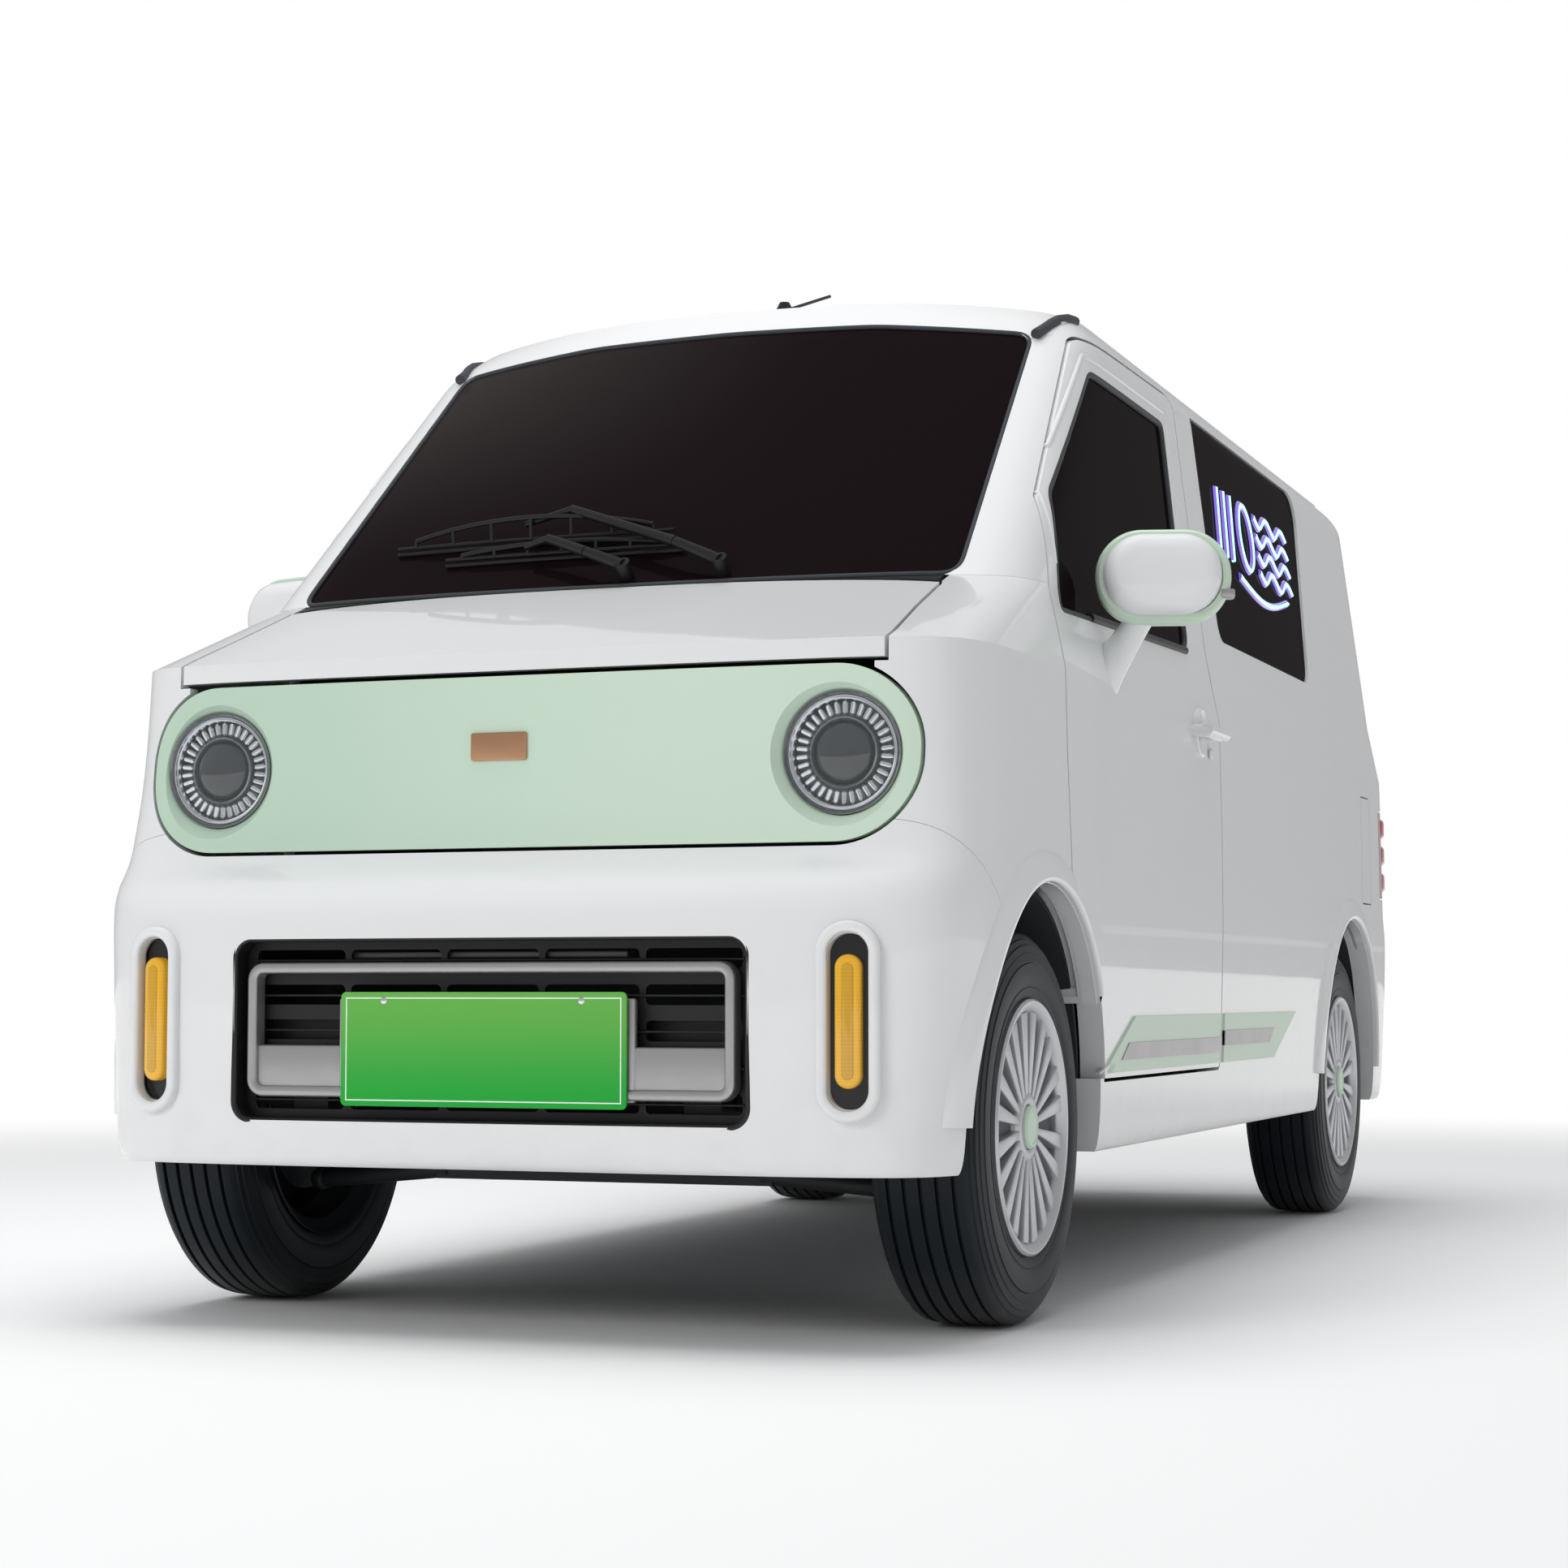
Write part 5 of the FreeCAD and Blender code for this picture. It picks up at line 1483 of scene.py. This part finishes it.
# ---------------------------------------------------------------------------------------------- interior
@dataclass
class Cushion:
    """One stuffed seat pad, swollen by a short cloth simulation."""
    name: str
    size: tuple[float, float, float]
    middle: tuple[float, float, float]
    lean: float = 0.0
    cap: float = 0.012
    seam_share: float = 0.27
    seam_width: float = 0.02
    seam_depth: float = 0.007
    steps: int = 14

    def build(self, finishes: Finishes) -> bpy.types.Object:
        """Makes the pad.

        Args:
            finishes: the van's materials.

        Returns:
            The finished piece.
        """
        size = tuple(s - 0.016 for s in self.size)
        shape = Shape().block(size, (0, 0, 0), 0.032, segments=4)
        piece = shape.object(self.name, finishes.fabric, 180)
        remesh = piece.modifiers.new("remesh", "REMESH")
        remesh.mode = "VOXEL"
        remesh.voxel_size = 0.012
        remesh.use_smooth_shade = True
        self.apply(piece)
        self.swell(piece)
        self.seams(piece)
        turn = Matrix.Translation(self.middle) @ Matrix.Rotation(self.lean, 4, "X")
        piece.data.transform(turn)
        for polygon in piece.data.polygons:
            polygon.use_smooth = True
        smooth = piece.modifiers.new("soften", "SUBSURF")
        smooth.levels = smooth.render_levels = 1
        return piece

    @staticmethod
    def apply(piece: bpy.types.Object) -> None:
        """Applies the piece's modifiers."""
        mesh = bpy.data.meshes.new_from_object(piece.evaluated_get(bpy.context.evaluated_depsgraph_get()))
        piece.modifiers.clear()
        piece.data = mesh

    def swell(self, piece: bpy.types.Object) -> None:
        """Lets pressure round the pad, then caps how far each point went."""
        before = [v.co.copy() for v in piece.data.vertices]
        cloth = piece.modifiers.new("stuffing", "CLOTH")
        cloth.settings.use_pressure = True
        cloth.settings.uniform_pressure_force = 4.0
        cloth.settings.effector_weights.gravity = 0.0
        cloth.settings.quality = 4
        scene = bpy.context.scene
        for step in range(self.steps):
            scene.frame_set(step + 1)
        self.apply(piece)
        for vert, old in zip(piece.data.vertices, before):
            move = vert.co - old
            if move.length > self.cap:
                vert.co = old + move * (self.cap / move.length)
        scene.frame_set(1)

    def seams(self, piece: bpy.types.Object) -> None:
        """Presses two sewn channels into the pad's front and back."""
        width, _, height = self.size
        long_way = 2 if height > self.size[1] else 1
        for vert in piece.data.vertices:
            away = abs(abs(vert.co.x) - width * self.seam_share)
            near = min(away, self.seam_width) / self.seam_width
            dip = (1 - near) ** 2 * self.seam_depth
            axis = 1 if long_way == 2 else 2
            vert.co[axis] -= math.copysign(dip, vert.co[axis])


@dataclass
class Seats:
    """Driver's and passenger's seats."""
    places: Sequence[float] = (0.325, -0.325)

    def build(self, finishes: Finishes) -> None:
        """Makes cushions, backs, headrests and bases."""
        first = True
        for x in self.places:
            word = "driver" if x > 0 else "passenger"
            pads = [Cushion("seat_cushion_" + word, (0.468, 0.468, 0.128), (x, aft(0.875), 0.626)),
                    Cushion("seat_back_" + word, (0.456, 0.112, 0.560), (x, aft(1.160), 0.935),
                            math.radians(-13.5)),
                    Cushion("headrest_" + word, (0.245, 0.090, 0.160), (x, aft(1.262), 1.345),
                            math.radians(-10))]
            for pad in pads:
                piece = pad.build(finishes)
                settle(piece, "body", Slot.FABRIC, *(["seats"] if first else []))
                first = False
            base = Shape()
            base.block((0.380, 0.380, 0.190), (x, aft(0.890), 0.448), 0.012)
            for offset in (-0.05, 0.05):
                base.bar((x + offset, aft(1.232), 1.205), (x + offset, aft(1.256), 1.300), 0.006)
            base.block((0.030, 0.16, 0.06), (x + 0.235, aft(1.06), 0.640), 0.01)
            settle(base.object("seat_base_" + word, finishes.dash), "body", Slot.DASH)


@dataclass
class Cab:
    """Instrument hood, screen, vents and wheel boss cover."""
    column_run: Sequence[float] = (0, 337.0, 285.0)
    boss_section: Profile = ((0.002, 0.0), (0.016, 0.0), (0.015, 0.030), (0.010, 0.050), (-0.010, 0.056),
                             (-0.020, 0.050))

    def build(self, finishes: Finishes) -> None:
        """Makes the cab's fittings."""
        hood = Shape()
        hood.block((0.300, 0.120, 0.040), (0.325, aft(0.235), 1.062), 0.016)
        hood.block((0.260, 0.012, 0.150), (0.0, aft(0.335), 0.985), 0.006,
                   Matrix.Rotation(math.radians(-14), 3, "X"))
        for x in (-0.52, -0.20, 0.52):
            hood.block((0.150, 0.020, 0.050), (x, aft(0.336), 0.965), 0.006,
                       Matrix.Rotation(math.radians(-12), 3, "X"))
        settle(hood.object("dash_fittings", finishes.black), "body", Slot.DASH)
        middle = Vector((0.325, aft(0.470), 0.925))
        boss = Shape().lathe(self.boss_section, middle, Vector(self.column_run).normalized(), 40, True)
        settle(boss.object("wheel_boss", finishes.gloss_black), "steering_wheel", Slot.BLACK)


@dataclass
class Underside:
    """Ribs and bolts of the battery case, rear dampers, front struts and brake calipers."""
    rib_count: int = 9
    rib_pitch: float = 0.165
    coil_steps: int = 160
    coil_radius: float = 0.044

    def build(self, finishes: Finishes) -> None:
        """Makes the fittings under the floor."""
        ribs = Shape()
        for i in range(self.rib_count):
            ribs.block((0.50, 0.022, 0.008), (0, aft(0.52) + i * self.rib_pitch, 0.199), 0.003)
        for a in (0.52, 1.24, 1.90):
            for x in (-0.305, 0.305):
                ribs.lathe([(0.0, 0.0), (-0.010, 0.0), (-0.010, 0.008), (-0.004, 0.0115), (0.0, 0.0115)],
                           Vector((x, aft(a), 0.2395)), Vector((0, 0, 1)), 6, True)
        settle(ribs.object("battery_ribs", finishes.battery), "body", Slot.BATTERY)
        dampers = Shape()
        for s in (-1, 1):
            dampers.bar((s * 0.455, aft(2.60), 0.262), (s * 0.440, aft(2.72), 0.445), 0.022)
            dampers.bar((s * 0.459, aft(2.575), 0.225), (s * 0.455, aft(2.60), 0.262), 0.012)
        settle(dampers.object("rear_dampers", finishes.steel), "body", Slot.STEEL)
        struts = Shape()
        for s in (-1, 1):
            foot, head = Vector((s * 0.478, aft(0.0), 0.345)), Vector((s * 0.430, aft(0.0), 0.600))
            struts.bar(foot, foot.lerp(head, 0.62), 0.024)
            struts.bar(foot, head, 0.011)
            run = head - foot
            axis = run.normalized()
            across = axis.orthogonal().normalized()
            coil = []
            for i in range(self.coil_steps + 1):
                arm = Matrix.Rotation(i * math.pi / 14, 3, axis) @ across * self.coil_radius
                coil.append(foot + run * (0.30 + 0.66 * i / self.coil_steps) + arm)
            for a, b in zip(coil, coil[1:]):
                struts.bar(a, b, 0.0055, 8)
        settle(struts.object("front_struts", finishes.steel), "body", Slot.STEEL)
        for side in Side:
            shape = Shape().block((0.044, 0.050, 0.100), (side.value * 0.568, aft(0.108), 0.330), 0.010)
            settle(shape.object("brake_caliper_" + side.word, finishes.cast), "knuckle_" + side.word,
                   Slot.STEEL)


# ------------------------------------------------------------------------------------------------ studio
@dataclass
class Studio:
    """Pale floor, soft lights and the camera."""
    camera_place: tuple = (1.984, -5.750, 0.505)
    yaw: float = math.radians(20.83)
    pitch: float = math.radians(3.93)
    lens: float = 69.5
    ambient: float = 0.45
    fade: tuple[float, float] = (3.0, 7.0)
    lights: Sequence[tuple] = field(default_factory=lambda: (
        ((-2.5, -8.0, 4.0), 3.0, 170.0), ((-0.5, -0.5, 7.5), 5.0, 360.0)))

    def build(self) -> None:
        """Makes the stage."""
        floor = Shape()
        bmesh.ops.create_grid(floor.bm, x_segments=8, y_segments=8, size=60.0)
        g = Graph("Studio floor")
        distance = g.value("ShaderNodeVectorMath", {"operation": "LENGTH"}, {0: g.place()}, "Value")
        away = distance.step(*self.fade)
        pale = g.mix(g.noise(0.6), (0.93, 0.93, 0.93), (0.915, 0.915, 0.918))
        matt = g.node("ShaderNodeBsdfPrincipled", None, {"Base Color": pale, "Roughness": 0.85})
        light = g.node("ShaderNodeEmission", None, {"Color": (1.0, 1.0, 1.0, 1.0), "Strength": 1.0})
        both = g.node("ShaderNodeMixShader", None, {0: away, 1: matt.outputs[0], 2: light.outputs[0]})
        g.tree.links.new(both.outputs[0], g.out.inputs["Surface"])
        floor.object("studio_floor", g.material)
        dome = Shape()
        bmesh.ops.create_icosphere(dome.bm, subdivisions=4, radius=58.0)
        bmesh.ops.reverse_faces(dome.bm, faces=dome.bm.faces)
        g = Graph("Studio backdrop")
        light = g.node("ShaderNodeEmission", None, {"Color": (1.0, 1.0, 1.0, 1.0), "Strength": 1.0})
        g.tree.links.new(light.outputs[0], g.out.inputs["Surface"])
        backdrop = dome.object("studio_backdrop", g.material)
        for ray in ("visible_diffuse", "visible_glossy", "visible_transmission", "visible_shadow"):
            setattr(backdrop, ray, False)
        world = bpy.data.worlds.new("Studio world")
        bpy.context.scene.world = world
        world.use_nodes = True
        world.node_tree.nodes["Background"].inputs[0].default_value = (0.97, 0.985, 1.0, 1.0)
        world.node_tree.nodes["Background"].inputs[1].default_value = self.ambient
        for index, (place, size, power) in enumerate(self.lights):
            light = bpy.data.lights.new("Softbox " + str(index), "AREA")
            light.shape = "SQUARE"
            light.size = size
            light.energy = power
            holder = bpy.data.objects.new(light.name, light)
            holder.location = place
            holder.visible_glossy = False
            aim = Vector((0, 0, 0.7)) - Vector(place)
            holder.rotation_euler = aim.to_track_quat("-Z", "Y").to_euler()
            bpy.context.collection.objects.link(holder)
        camera = bpy.data.cameras.new("Camera")
        camera.lens = self.lens
        camera.sensor_width = 36.0
        holder = bpy.data.objects.new("Camera", camera)
        holder.location = self.camera_place
        holder.rotation_euler = (math.pi / 2 + self.pitch, 0.0, self.yaw)
        bpy.context.collection.objects.link(holder)
        scene = bpy.context.scene
        scene.camera = holder
        scene.view_settings.view_transform = "Standard"


def dress_nodes(finishes: Finishes) -> None:
    """Gives every carried-over CAD node its finish."""
    by_slot = {
        Slot.PAINT: finishes.white, Slot.MINT: finishes.mint, Slot.GLASS: finishes.glass,
        Slot.TYRE: finishes.rubber, Slot.RIM: finishes.cover, Slot.STEEL: finishes.steel,
        Slot.BLACK: finishes.black, Slot.CLEAR: finishes.clear, Slot.AMBER: finishes.amber,
        Slot.RED: finishes.red, Slot.SILVER: finishes.silver, Slot.PLATE: finishes.plate,
        Slot.FABRIC: finishes.fabric, Slot.DASH: finishes.dash, Slot.FLOOR: finishes.floor,
        Slot.BATTERY: finishes.battery}
    slots = {part["node"]: Slot(part["material_slot"]) for part in frame["record"]["subparts"]}
    for name, node in frame["nodes"].items():
        node.data.materials.clear()
        node.data.materials.append(by_slot[slots[name]])
        log.info("node %s dressed as %s", name, slots[name].value)


def main() -> None:
    """Builds the visual model in order."""
    logging.basicConfig(level=logging.INFO, format="%(message)s")
    finishes = Finishes()
    dress_nodes(finishes)
    for corner in CORNERS:
        Tyre(corner).build(finishes)
        Wheel(corner).build(finishes)
    panel = Skin("lamp_panel")
    bumper = Skin("front_bumper")
    screen = Skin("windscreen")
    for side in Side:
        Headlamp(side).build(finishes)
        CornerLamp(side).build(finishes, bumper)
    FrontFace().build(finishes, panel)
    Wiper("left", ((0.196, 1.170), (0.112, 1.198), (-0.104, 1.272), (-0.188, 1.262)),
          ((-0.430, 1.238), (0.082, 1.242))).build(finishes, screen)
    Wiper("right", ((0.030, 1.170), (-0.040, 1.188), (-0.120, 1.216), (-0.165, 1.216)),
          ((-0.318, 1.208), (0.110, 1.213)), 0.012).build(finishes, screen)
    Screen().build(finishes, screen, Skin("roof", "body_side_left", "body_side_right"))
    low = [(0.345, 0.372), (1.198, 0.372), (1.198, 0.464), (0.545, 0.464)]
    low_strip = [(0.455, 0.392), (1.198, 0.392), (1.198, 0.420), (0.500, 0.420)]
    rear = [(1.228, 0.372), (1.694, 0.372), (1.907, 0.464), (1.228, 0.464)]
    rear_strip = [(1.228, 0.404), (1.640, 0.404), (1.680, 0.432), (1.228, 0.432)]
    for side in Side:
        word = side.word
        door = Skin("door_" + word)
        DoorTrim(side).build(finishes, Skin("door_glass_" + word), door)
        Skirt("door_skirt_" + word, side, "door_" + word, low, low_strip).build(finishes, door)
        flank = Skin("body_side_" + word, "sliding_door")
        Skirt("body_skirt_" + word, side, "body", rear, rear_strip).build(finishes, flank)
        every = Skin("body_side_" + word, "front_fenders", "front_bumper", "rear_bumper")
        for front in (True, False):
            ArchFlare(Corner(side, front)).build(finishes, every, 2 if front else 4, 150 if front else 176)
    NeonSign().build(finishes, Skin("side_glass"))
    Tail().build(finishes, Skin("tailgate"), Skin("tailgate_glass"))
    Seats().build(finishes)
    Cab().build(finishes)
    Underside().build(finishes)
    Studio().build()


if __name__ == "__main__":
    main()
